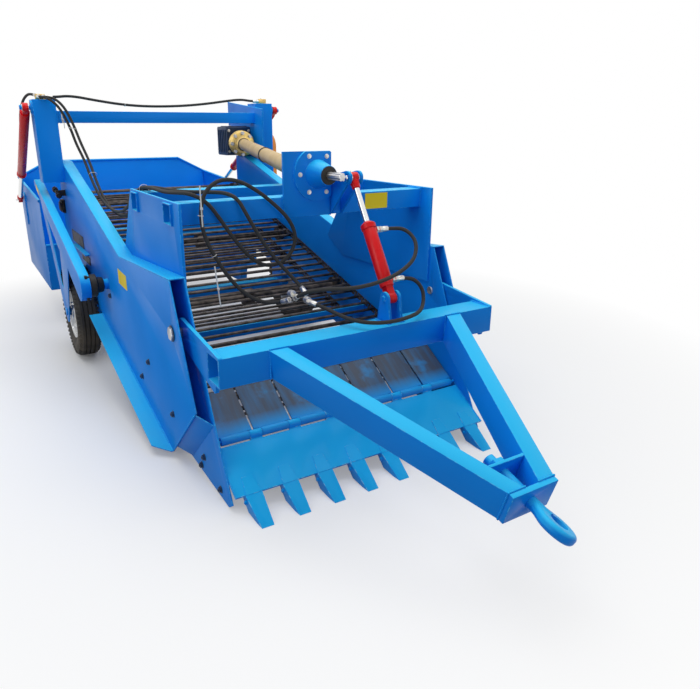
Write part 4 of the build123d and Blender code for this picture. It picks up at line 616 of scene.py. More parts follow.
def grown(source: Mesh, tree: bpy.types.NodeTree, inputs: dict[str, object],
          part: Mesh) -> Mesh:
    """A plain mesh of what a tree makes.

    Args:
        source: Points or paths that the tree works on, used up.
        tree: The tree.
        inputs: Its named inputs, apart from the part.
        part: The shape that it repeats, used up.

    Returns:
        The resulting mesh.
    """
    pattern = bpy.data.objects.new("pattern", part)
    bpy.context.scene.collection.objects.link(pattern)

    def plant(bench: bpy.types.Object) -> None:
        """Put the tree on the bench."""
        step = bench.modifiers.new("grow", "NODES")
        step.node_group = tree
        for socket in tree.interface.items_tree:
            if socket.in_out == "INPUT" and socket.name in inputs:
                step[socket.identifier] = inputs[socket.name]
            elif socket.in_out == "INPUT" and socket.name == "Part":
                step[socket.identifier] = pattern

    made = evaluated(source, plant)
    bpy.data.objects.remove(pattern)
    bpy.data.meshes.remove(part)
    return made


def point_mesh(name: str, spots: Sequence[tuple[Vector, Vector, Vector]]) -> Mesh:
    """A mesh of loose points that carry where a part aims and leans.

    Args:
        name: The mesh's name.
        spots: (place, aim, lean) of each point.

    Returns:
        The mesh.
    """
    mesh = bpy.data.meshes.new(name)
    mesh.from_pydata([spot[0] for spot in spots], [], [])
    for index, label in ((1, "aim"), (2, "lean")):
        attribute = mesh.attributes.new(label, "FLOAT_VECTOR", "POINT")
        attribute.data.foreach_set("vector", [value for spot in spots for value in spot[index]])
    return mesh


def path_mesh(name: str, paths: Sequence[Sequence[Vector]]) -> Mesh:
    """A mesh of lines of edges.

    Args:
        name: The mesh's name.
        paths: The points of each line in order.

    Returns:
        The mesh.
    """
    points, edges = [], []
    for path in paths:
        first = len(points)
        points.extend(path)
        edges.extend((first + step, first + step + 1) for step in range(len(path) - 1))
    mesh = bpy.data.meshes.new(name)
    mesh.from_pydata(points, edges, [])
    return mesh


@dataclass
class PlateWork:
    """The CAD plates, tubes and turned parts, with their edges rounded and finished."""

    width: float = 2.0
    weld_gap: float = 0.02
    flat_angle: float = 0.5
    finishes: dict[Finishes, tuple[str, ...]] = field(default_factory=lambda: {
        Finishes.BLUE: ("wall_inner_left", "wall_inner_right", "wall_outer_left", "wall_outer_right",
                        "wall_caps", "wall_gussets", "head_plates", "head_tubes", "bearing_plate",
                        "gearbox_carrier", "uprights", "rear_beam", "cross_tubes", "clevis_upper", "axle",
                        "wheel_bracket_left",
                        "wheel_bracket_right", "rear_arms", "drawbar_cross", "drawbar_ears", "drawbar_beams",
                        "drawbar_end", "drawbar_stiffener", "drawbar_eye", "clevis_lower", "hopper_floor",
                        "hopper_front", "hopper_rear", "hopper_side_left", "hopper_side_right"),
        Finishes.SHARE: ("share_blade",),
        Finishes.FLAP: ("flap_row",),
        Finishes.WEB: ("web_shafts",),
        Finishes.STEEL: ("pivot_pins", "pto_stub"),
        Finishes.RED: ("lift_barrel", "tip_left_barrel", "tip_right_barrel"),
        Finishes.CHROME: ("lift_rod", "tip_left_rod", "tip_right_rod"),
        Finishes.TAN: ("driveline_guard",),
        Finishes.DARK: ("gearbox",),
        Finishes.ORANGE: ("chain_guard",),
        Finishes.WHITE: ("rim_left", "rim_right"),
        Finishes.BRASS: ("hose_tees",),
    })

    def build(self) -> None:
        """Make a rounded copy of each node and stand it in the node's place."""
        riders = frame["record"]["behaviour"]["bodies"]
        bodies = {node: body for body, nodes in riders.items() for node in nodes}
        for finish, nodes in self.finishes.items():
            for node in nodes:
                mesh = softened(self._merged(node), self.width * MM)
                piece = place(f"{node}_piece", mesh, finish, bodies[node])
                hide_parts(node)

    def _merged(self, node: str) -> Mesh:
        """A copy of a CAD node's mesh with its loose triangles joined into flat faces."""
        work = bmesh.new()
        work.from_mesh(frame["nodes"][node].data)
        bmesh.ops.remove_doubles(work, verts=work.verts, dist=self.weld_gap * MM)
        bmesh.ops.dissolve_limit(work, angle_limit=radians(self.flat_angle), verts=work.verts, edges=work.edges)
        mesh = bpy.data.meshes.new(node)
        work.to_mesh(mesh)
        work.free()
        return mesh


@dataclass
class RodWeb:
    """The rod web: round rods with flattened ends, and the side chains that carry them."""

    front: Pair = (680.0, 245.0)
    rear: Pair = (3000.0, 910.0)
    radius: float = 92.0
    half_wide: float = 622.0
    rod: float = 8.0
    count: int = 72
    rod_inset: float = 12.0
    tab_inset: float = 21.0
    tab_rise: float = 7.2
    tab: Point = (27.0, 20.8, 9.6)
    link_wide: float = 30.0
    link_shift: float = 11.4
    link: Point = (4.8, 66.0, 16.0)
    bush: Pair = (8.0, 14.4)

    def loop(self) -> list[tuple[Vector, Vector]]:
        """Place and outward direction of each rod round the loop."""
        run = hypot(self.rear[0] - self.front[0], self.rear[1] - self.front[1])
        slope = atan2(self.rear[1] - self.front[1], self.rear[0] - self.front[0])
        half_turn = pi * self.radius
        total = 2 * run + 2 * half_turn
        spots = []
        for index in range(self.count):
            distance = index * total / self.count
            base, reach, turn = self.front, distance, 0.0
            if distance >= 2 * run + half_turn:
                base, reach, turn = self.front, 0.0, pi + (distance - 2 * run - half_turn) / self.radius
            elif distance >= run + half_turn:
                base, reach, turn = self.rear, -(distance - run - half_turn), pi
            elif distance >= run:
                base, reach, turn = self.rear, 0.0, (distance - run) / self.radius
            out = Vector((0, sin(turn) * cos(slope) - cos(turn) * sin(slope),
                          sin(turn) * sin(slope) + cos(turn) * cos(slope)))
            middle = at(0, base[0] + reach * cos(slope), base[1] + reach * sin(slope))
            spots.append((middle + out * self.radius * MM, out))
        return spots

    def _bar(self) -> Mesh:
        """One rod with its two flattened ends, lying along X."""
        work = Workpiece()
        half = self.half_wide - self.rod_inset
        work.cone(Vector((-half * MM, 0, 0)), Vector((half * MM, 0, 0)), self.rod, sides=8)
        for sign in (1, -1):
            work.block(Vector((sign * (half - self.tab_inset), 0, self.tab_rise)) * MM, self.tab)
        return work.mesh("rod")

    def _link(self) -> Mesh:
        """One pair of chain side links, lying along Y."""
        work = Workpiece()
        bush, reach = self.bush
        for sign in (1, -1):
            middle = sign * (self.half_wide - self.link_wide / 2)
            for shift in (-self.link_shift, self.link_shift):
                work.block(Vector((middle + shift, 0, 0)) * MM, self.link)
            work.cone(Vector((middle - reach, 0, 0)) * MM, Vector((middle + reach, 0, 0)) * MM, bush, sides=10)
        return work.mesh("link")

    def build(self) -> None:
        """Make the rods and chains and stand them in the CAD web's place."""
        spots = [(spot, out, LEFT) for spot, out in self.loop()]
        finish = Finishes.WEB
        inputs = {"Size": 1.0, "Finish": finish.value.material()}
        rods = shaded(grown(point_mesh("rod_spots", spots), Trees.on_points(), inputs, self._bar()), 40)
        piece = place("web_rods", rods, finish, "chassis")
        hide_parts("web")
        links = shaded(grown(point_mesh("link_spots", spots), Trees.on_points(), inputs, self._link()), 40)
        place("web_chains", links, finish, "chassis")


@dataclass
class Fasteners:
    """Hexagon bolts with washers, set on faces of the machine."""

    across: float = 19.0
    head: float = 8.0
    washer: Pair = (14.0, 3.0)
    shank_share: float = 0.26
    shank_out: float = 5.0

    def _bolt(self) -> Mesh:
        """One bolt head on its washer, standing along Z."""
        work = Workpiece()
        washer, thick = self.washer
        work.lathe(UP * -1 * MM, UP, ((0, washer), (thick, washer)), 20)
        work.hexagon(UP * 2 * MM, UP, self.across, self.head)
        work.cone(UP * MM, UP * (self.head + self.shank_out) * MM, self.across * self.shank_share, sides=12)
        return work.mesh("bolt", 0.6)

    def build(self, name: str, spots: Sequence[tuple[Vector, Vector]], body: str,
              finish: Finishes = Finishes.ZINC, size: float = 1.0) -> None:
        """Set bolts on a body.

        Args:
            name: The piece's name.
            spots: Place and outward direction of each bolt.
            body: The body they sit on.
            finish: What they are finished with.
            size: Their size against the usual bolt.
        """
        points = [(spot, aim, aim.orthogonal().normalized()) for spot, aim in spots]
        inputs = {"Size": size, "Finish": finish.value.material()}
        mesh = grown(point_mesh(name + "_spots", points), Trees.on_points(), inputs, self._bolt())
        place(name, mesh, finish, body)


@dataclass
class Welds:
    """Weld beads laid along the seams between plates."""

    step: float = 6.5
    bead: Point = (6.0, 5.5, 4.6)
    vary: float = 0.12

    def _drop(self) -> Mesh:
        """One drop of the bead, with its long side along X."""
        work = bmesh.new()
        bmesh.ops.create_icosphere(work, subdivisions=1, radius=1.0,
                                   matrix=Matrix.Diagonal((*(Vector(self.bead) * MM), 1.0)))
        mesh = bpy.data.meshes.new("drop")
        work.to_mesh(mesh)
        work.free()
        return mesh

    def build(self, name: str, seams: Sequence[Sequence[Vector]], body: str,
              finish: Finishes = Finishes.BLUE) -> None:
        """Lay beads on a body.

        Args:
            name: The piece's name.
            seams: The lines that the beads follow.
            body: The body they sit on.
            finish: What is painted over them.
        """
        inputs = {"Step": self.step * MM, "Vary": self.vary, "Finish": finish.value.material()}
        mesh = grown(path_mesh(name + "_seams", seams), Trees.along_paths(), inputs, self._drop())
        place(name, shaded(mesh, 80), finish, body)


@dataclass
class Hoses:
    """The hydraulic hoses, each with the ferrules and nuts at its two ends."""

    radius: float = 8.5
    lead: float = 62.0
    tee_far: float = 815.0
    tee_near: float = 785.0
    tee_front: float = 2844.0
    tee_z: float = 1637.0
    tee_inner: float = 770.0
    tee_station: float = 2860.0
    port_x: float = 186.0
    lift_high: Pair = (383.7, 1023.0)
    lift_low: Pair = (257.8, 824.6)
    tip_x: float = 899.0
    ferrule_foot: float = 14.0
    ferrule: Pairs = ((0, 1.25), (3, 1.4), (30, 1.4), (34, 1.15))
    nut: Pair = (24.0, 16.0)

    def routes(self) -> dict[str, tuple[str, tuple[Point, ...]]]:
        """The body that carries each hose, and the points (x, station, height) of its route."""
        lead, z = self.lead, self.tee_z
        tip = ((self.tip_x, 3264.1, 1401.9), (self.tip_x, 3292.9, 1454.6), (892, 3246, 1545),
               (880, 3150, 1612), (862, 3030, 1652), (838, 2950, 1660), (800, 2892, z))
        return {
            "hose_lift_upper": ("lift_barrel", (
                (self.port_x, *self.lift_high), (self.port_x + lead, *self.lift_high), (306, 352, 1022),
                (326, 292, 975), (282, 240, 910), (190, 206, 872), (90, 184, 850), (-10, 176, 838),
                (-95, 186, 834), (-165, 226, 834), (-212, 292, 816), (-222, 370, 784), (-208, 440, 750))),
            "hose_lift_lower": ("lift_barrel", (
                (self.port_x, *self.lift_low), (self.port_x + lead, *self.lift_low), (302, 250, 806),
                (332, 236, 758), (314, 210, 706), (250, 156, 690), (165, 130, 686), (80, 122, 684),
                (0, 138, 686), (-56, 200, 688), (-80, 286, 696), (-108, 370, 714), (-146, 440, 730))),
            "hose_feed": ("chassis", (
                (-self.tee_far, self.tee_front, z), (-self.tee_far, self.tee_front - lead, z),
                (-760, 2728, 1622), (-704, 2712, 1560), (-660, 2704, 1440), (-640, 2684, 1340),
                (-612, 2620, 1242), (-602, 2508, 1120), (-600, 2370, 1050), (-600, 2209, 1004),
                (-600, 2030, 984), (-600, 1853, 987), (-600, 1690, 1014), (-600, 1558, 1060),
                (-598, 1431, 1124), (-598, 1300, 1172), (-598, 1120, 1182), (-600, 900, 1180),
                (-596, 740, 1192), (-562, 664, 1192), (-505, 640, 1158), (-456, 638, 1090),
                (-412, 637, 1020), (-356, 636, 944), (-300, 635, 884), (-232, 634, 858),
                (-164, 633, 870), (-114, 632, 916), (-97, 630, 982), (-124, 628, 1052),
                (-189, 626, 1120), (-290, 622, 1200), (-384, 618, 1246), (-468, 614, 1246),
                (-530, 612, 1194), (-548, 610, 1110), (-536, 610, 1020), (-494, 610, 930),
                (-440, 606, 836), (-372, 600, 756), (-300, 580, 712), (-240, 540, 712), (-214, 480, 736))),
            "hose_return": ("chassis", (
                (-self.tee_near, self.tee_front, z), (-self.tee_near, self.tee_front - lead, z),
                (-728, 2716, 1624), (-676, 2696, 1560), (-636, 2686, 1444), (-616, 2660, 1350),
                (-588, 2600, 1243), (-578, 2490, 1118), (-578, 2356, 1040), (-578, 2196, 986),
                (-578, 2020, 962), (-578, 1850, 962), (-578, 1690, 990), (-578, 1550, 1040),
                (-576, 1424, 1112), (-574, 1300, 1170), (-570, 1120, 1180), (-540, 930, 1178),
                (-470, 800, 1182), (-402, 712, 1186), (-366, 648, 1166), (-340, 620, 1100),
                (-293, 612, 1010), (-236, 606, 920), (-172, 596, 840), (-122, 566, 778), (-118, 500, 744))),
            "hose_cross": ("chassis", (
                (-self.tee_inner, self.tee_station, z), (-self.tee_inner + lead, self.tee_station, z),
                (-610, 2852, 1648), (-440, 2840, 1618), (-262, 2838, 1594), (-85, 2838, 1586),
                (130, 2838, 1592), (330, 2840, 1610), (500, 2846, 1634), (620, 2854, 1648),
                (self.tee_inner - lead, self.tee_station, z), (self.tee_inner, self.tee_station, z))),
            "hose_tip_left": ("tip_left_barrel", tip),
            "hose_tip_right": ("tip_right_barrel", tuple((-x, station, height) for x, station, height in tip)),
        }

    def build(self) -> None:
        """Lay each hose on its route and put its fittings on it."""
        for name, (body, route) in self.routes().items():
            points = [at(*point) for point in route]
            hose = self._hose(name, points, body)
            fittings = self._fittings(name, points, body)
            line = self._length(points)

    def _curve(self, name: str, points: Sequence[Vector]) -> bpy.types.Curve:
        """A smooth open curve with the route's points as its control points.

        Args:
            name: The curve's name.
            points: The route.

        Returns:
            The curve, without thickness.
        """
        curve = bpy.data.curves.new(name, "CURVE")
        curve.dimensions = "3D"
        spline = curve.splines.new("NURBS")
        spline.points.add(len(points) - 1)
        for spot, point in zip(spline.points, points):
            spot.co = (*point, 1.0)
        spline.order_u = 3
        spline.use_endpoint_u = True
        spline.resolution_u = 8
        return curve

    def _line(self, points: Sequence[Vector]) -> list[Vector]:
        """Points read along the smooth curve of a route.

        Args:
            points: The route.

        Returns:
            The points of the curve in order.
        """
        bench = bpy.data.objects.new("bench", self._curve("bench", points))
        bpy.context.scene.collection.objects.link(bench)
        graph = bpy.context.evaluated_depsgraph_get()
        mesh = bpy.data.meshes.new_from_object(bench.evaluated_get(graph), depsgraph=graph)
        line = [vertex.co.copy() for vertex in mesh.vertices]
        bpy.data.objects.remove(bench)
        bpy.data.meshes.remove(mesh)
        return line

    def _length(self, points: Sequence[Vector]) -> float:
        """Length of the smooth curve of a route."""
        line = self._line(points)
        return sum((after - before).length for before, after in zip(line, line[1:]))

    def _hose(self, name: str, points: Sequence[Vector], body: str) -> bpy.types.Object:
        """The hose itself, in the place of its CAD tube.

        Args:
            name: The CAD tube's name.
            points: The route.
            body: The body it rides.

        Returns:
            The new object.
        """
        curve = self._curve(name + "_line", points)
        curve.bevel_depth = self.radius * MM
        curve.bevel_resolution = 4
        curve.use_fill_caps = True
        hose = bpy.data.objects.new(name + "_piece", curve)
        bpy.context.scene.collection.objects.link(hose)
        curve.materials.append(Finishes.HOSE.value.material())
        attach(hose, body)
        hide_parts(name)
        LOG.info("%s on %s", hose.name, body)
        return hose

    def _fittings(self, name: str, points: Sequence[Vector], body: str) -> bpy.types.Object:
        """The crimped ferrules and hexagon nuts at the two ends of a hose.

        Args:
            name: The hose's name.
            points: The route.
            body: The body it rides.

        Returns:
            The new object.
        """
        work = Workpiece()
        grip = [(along, self.radius * share) for along, share in self.ferrule]
        for end, inner in ((points[0], points[1]), (points[-1], points[-2])):
            aim = (inner - end).normalized()
            work.lathe(end + aim * self.ferrule_foot * MM, aim, grip, 20)
            work.hexagon(end, aim, *self.nut)
        return place(name + "_fittings", work.mesh(name + "_fittings", 0.7), Finishes.ZINC, body)


@dataclass(frozen=True)
class Flange:
    """A flange bearing: a plate, a turned boss on it and a bolt head at each corner."""

    size: Point
    middle: float
    boss: Pairs
    boss_foot: float
    bolts: Pair
    bolt_foot: float
    bolt: Pair
    sides: int

    def build(self, work: Workpiece, foot: Vector, out: Vector) -> None:
        """Add the flange to a workpiece.

        Args:
            work: The workpiece.
            foot: Middle of the face that it stands on.
            out: Away from that face.
        """
        work.block(foot + out * self.middle * MM, self.size)
        work.lathe(foot + out * self.boss_foot * MM, out, self.boss, self.sides)
        for along, rise in ((1, 1), (1, -1), (-1, 1), (-1, -1)):
            corner = Vector((0, along * self.bolts[0], rise * self.bolts[1])) * MM
            work.hexagon(foot + out * self.bolt_foot * MM + corner, out, *self.bolt)


@dataclass
class WallDress:
    """Bolts, flange bearings, blank plates, ledges, tensioners and weld seams on the two side walls."""

    face: float = 718.0
    nose_face: float = 654.0
    bracket_face: float = 876.0
    bolts: Pairs = ((991, 376), (1143, 249), (644, 244), (1722, 537))
    nose_bolts: Pairs = ((451, 104), (490, 48), (269, 45))
    bearing: Pair = (3000.0, 910.0)
    bearing_flange: Flange = Flange((14, 92, 92), 7, ((0, 40), (12, 37), (20, 32), (22, 20)), 13,
                                    (34.04, 34.04), 14, (19, 9), 28)
    bearing_shaft: Point = (20.0, 36.0, 15.0)
    wall_plate: Pairs = ((1290, 662), (1460, 668), (1460, 746), (1290, 738))
    bracket_plate: Pairs = ((2985, 994), (3085, 1028), (3085, 1062), (2985, 1030))
    plate_lift: float = 0.3
    plate_thick: float = 1.2
    ledge: tuple[Pair, Point] = ((2440, 686), (32, 460, 8))
    slot_shades: tuple[tuple[Pair, Point], ...] = (((2590, 735), (3, 400, 78)), ((2360, 640), (3, 260, 50)))
    hub: Point = (850.0, 1760.0, 600.0)
    hub_flange: Flange = Flange((15, 120, 140), 8, ((0, 58), (20, 64), (50, 64), (58, 46), (86, 42),
                                                    (92, 30.5)), 15, (46, 56), 15, (19, 13), 32)
    rod_front: Point = (770.0, 2800.0, 996.0)
    rod_rear: Point = (770.0, 2990.0, 1034.0)
    rod: float = 10.0
    rod_nuts: tuple[Pair, Pair] = ((12.0, 36.0), (50.0, 22.0))
    rod_nut: Pair = (34.0, 16.0)
    rod_lug: tuple[float, float, Point] = (80.0, 22.0, (60, 12, 40))
    flange_seam: tuple[float, ...] = (760.0, 1200.0, 1600.0, 2020.0)
    flange_foot: Pair = (700.0, 36.0)
    flange_slope: float = 0.242
    short_seams: tuple[tuple[Pair, Pair], ...] = (((352, 353), (640, 86)), ((2801, 1092), (2946, 1092)))

    def build(self) -> None:
        """Dress both walls."""
        spots = []
        bearings, plates = Workpiece(), Workpiece()
        for sign in SIDES.values():
            out = outward(sign)
            spots += [(at(sign * self.face, *spot), out) for spot in self.bolts]
            spots += [(at(sign * self.nose_face, *spot), out) for spot in self.nose_bolts]
            middle = at(sign * self.face, *self.bearing)
            self.bearing_flange.build(bearings, middle, out)
            foot, tip, radius = self.bearing_shaft
            bearings.cone(middle + out * foot * MM, middle + out * tip * MM, radius, sides=20)
            for face, corners in ((self.face, self.wall_plate), (self.bracket_face, self.bracket_plate)):
                plates.plate([at(sign * (face + self.plate_lift), *corner) for corner in corners],
                             out * self.plate_thick * MM)
        Fasteners().build("wall_bolts", spots, "chassis", Finishes.DARK, 1.15)
        place("wall_bearings", bearings.mesh("wall_bearings", 1.5), Finishes.BLACK, "chassis")
        place("blank_plates", plates.mesh("blank_plates"), Finishes.YELLOW, "chassis")
        self._corners()
        self._hubs()
        self._adjusters()
        self._seams()

    def _corners(self) -> None:
        """The ledge above each wheel, and black sheets by it that are painted shade in its slots."""
        ledges, slot_shades = Workpiece(), Workpiece()
        spot, size = self.ledge
        for sign in SIDES.values():
            out = outward(sign)
            ledges.block(at(sign * self.face, *spot) + out * size[0] / 2 * MM, size)
            # Thin black sheets on the wall face: painted shade where the slots are dark.
            for slot, slot_size in self.slot_shades:
                slot_shades.block(at(sign * self.face, *slot) + out * MM, slot_size)
        place("wall_ledges", ledges.mesh("wall_ledges", 1.5), Finishes.BLUE, "chassis")
        place("wall_slots", slot_shades.mesh("wall_slots"), Finishes.BLACK, "chassis")

    def _hubs(self) -> None:
        """The dark flanged hub round the front pivot of each wheel bracket, inside its plate."""
        work = Workpiece()
        x, *spot = self.hub
        for sign in SIDES.values():
            self.hub_flange.build(work, at(sign * x, *spot), -outward(sign))
        place("bracket_hubs", work.mesh("bracket_hubs", 1.5), Finishes.BLACK, "chassis")

    def _adjusters(self) -> None:
        """The dark threaded tensioners of the rear web shaft, lying along each wall."""
        work = Workpiece()
        reach, inset, lug = self.rod_lug
        for sign in SIDES.values():
            front, rear = (at(sign * x, *spot) for x, *spot in (self.rod_front, self.rod_rear))
            aim = (rear - front).normalized()
            work.cone(front, rear, self.rod, sides=12)
            bases = [front + aim * nut * MM for nut in self.rod_nuts[0]]
            bases += [rear - aim * nut * MM for nut in self.rod_nuts[1]]
            for base in bases:
                work.hexagon(base, aim, *self.rod_nut)
            work.block(front + aim * reach * MM - outward(sign) * inset * MM, lug)
        place("web_adjusters", work.mesh("web_adjusters", 0.8), Finishes.BLACK, "chassis")

    def _seams(self) -> None:
        """Weld beads along the floor flange, on the nose and under the cap strips."""
        seams = []
        start, height = self.flange_foot
        for sign in SIDES.values():
            x = sign * (self.face + 1)
            seams.append([at(x, station, height + (station - start) * self.flange_slope)
                          for station in self.flange_seam])
            seams += [[at(x, *spot) for spot in seam] for seam in self.short_seams]
        Welds().build("wall_welds", seams, "chassis")


@dataclass
class HeadDress:
    """Bolts, seams, the blank plate, hose unions and nylon ties on the head frame and rear beam."""

    tube_face: float = 660.0
    flange_face: float = 634.0
    flange_bolts: Pairs = ((68, 1327), (-22, 1329), (-68, 1251), (-24, 1173), (66, 1171))
    plate: Pairs = ((297, 1074), (428, 1074), (428, 1148), (297, 1148))
    plate_lift: float = 0.3
    plate_thick: float = 1.2
    bearing_seams: tuple[Pair, Pair] = ((-146, 92), (-147, 93))
    lug_seams: Pair = (101.0, 171.0)
    tube_heights: Point = (1066.0, 1154.0, 1156.0)
    lug_top: float = 1160.0
    tube_end: float = 635.0
    tube_sides: tuple[float, ...] = (660.0, 760.0, 1180.0, 1280.0)
    tube_middles: Pair = (710.0, 1230.0)
    tube_half: float = 49.0
    beam_seam: tuple[Point, Point] = ((-717, 2799, 1475), (-717, 2799, 1549))
    tails: tuple[tuple[Point, Point], ...] = (((-546, 598, 1229), (-545, 598, 1063)),
                                              ((-503, 598, 895), (-487, 596, 715)))
    tail: Pair = (5.5, 1.6)
    lock: Point = (10.0, 7.0, 10.0)
    lock_share: float = 0.45
    lock_shift: float = 3.0
    loops: tuple[tuple[Point, Point, float], ...] = (
        ((-546, 610, 1108), (0.1, 0, 1), 10.5), ((-498, 610, 938), (0.45, 0, -0.9), 10.5),
        ((-587, 2528, 1152), (0, -0.62, -0.78), 26), ((-586, 1296, 1160), (0, 1, 0), 23),
        ((-650, 2695, 1442), (0.2, -0.1, 1), 28), ((-262, 2838, 1594), (1, 0, 0), 10.5))
    loop_wire: float = 1.4
    beam_tie: Point = (-690.0, 2838.0, 1512.0)
    beam_strap: Point = (6.0, 80.0, 1.6)
    beam_lock: tuple[Point, Point] = ((0, -41, -12), (11, 8, 11))
    beam_tail: tuple[Point, Point] = ((8, -44, -42), (5, 1.6, 60))
    unions: tuple[Point, Point] = ((-226, 436, 776), (-146, 444, 734))
    union_aim: Point = (0.2, -1.0, 0.0)
    union: Pairs = ((-12, 15), (12, 15))

    def build(self) -> None:
        """Dress the head frame, the bearing plate and the rear beam."""
        Fasteners().build("bearing_bolts", [(at(x, self.flange_face, z), FRONT) for x, z in self.flange_bolts],
                          "chassis", Finishes.ZINC, 0.75)
        plates = Workpiece()
        plates.plate([at(x, self.tube_face - self.plate_lift, z) for x, z in self.plate],
                     FRONT * self.plate_thick * MM)
        place("tube_plate", plates.mesh("tube_plate"), Finishes.YELLOW, "chassis")
        self._seams()
        self._ties()
        self._unions()

    def _seams(self) -> None:
        """Weld beads round the bearing plate, the tubes, the rear beam's end and the clevis."""
        front = self.tube_face - 1
        low, high, top = self.tube_heights
        edges, sides = self.bearing_seams
        seams = [[at(x, front, top) for x in edges]]
        seams += [[at(x, front, low), at(x, front, high)] for x in sides]
        for sign in SIDES.values():
            x = sign * self.tube_end
            seams += [[at(x, station, low), at(x, station, high)] for station in self.tube_sides]
            seams += [[at(x, station - self.tube_half, top), at(x, station + self.tube_half, top)]
                      for station in self.tube_middles]
        seams.append([at(*spot) for spot in self.beam_seam])
        seams += [[at(x, front, self.lug_top), at(x, front, low)] for x in self.lug_seams]
        Welds().build("head_welds", seams, "chassis")

    def _ties(self) -> None:
        """White nylon ties round the hoses and the rear beam, with their locks and long tails."""
        work = Workpiece()
        for start, end in self.tails:
            low, high = at(*end), at(*start)
            run = high - low
            work.block((low + high) / 2, (*self.tail, run.length / MM), turned(run))
            work.block(low + run * self.lock_share + FRONT * self.lock_shift * MM, self.lock, turned(run))
        for spot, aim, radius in self.loops:
            work.ring(at(*spot), Vector(aim), radius, self.loop_wire, 24, 6)
        middle = at(*self.beam_tie)
        wide, long, thick = self.beam_strap
        for way in (-1, 1):
            reach = way * (long - 1) / 2 * MM
            work.block(middle + Vector((0, reach, 0)), (wide, thick, long))
            work.block(middle + Vector((0, 0, -reach)), (wide, long, thick))
        for shift, size in (self.beam_lock, self.beam_tail):
            work.block(middle + Vector(shift) * MM, size)
        place("nylon_ties", work.mesh("nylon_ties"), Finishes.NYLON, "chassis")

    def _unions(self) -> None:
        """The bright unions at the front ends of the lift hoses."""
        work = Workpiece()
        for spot in self.unions:
            work.lathe(at(*spot), Vector(self.union_aim), self.union, 18)
        place("hose_unions", work.mesh("hose_unions", 1.0), Finishes.ZINC, "chassis")


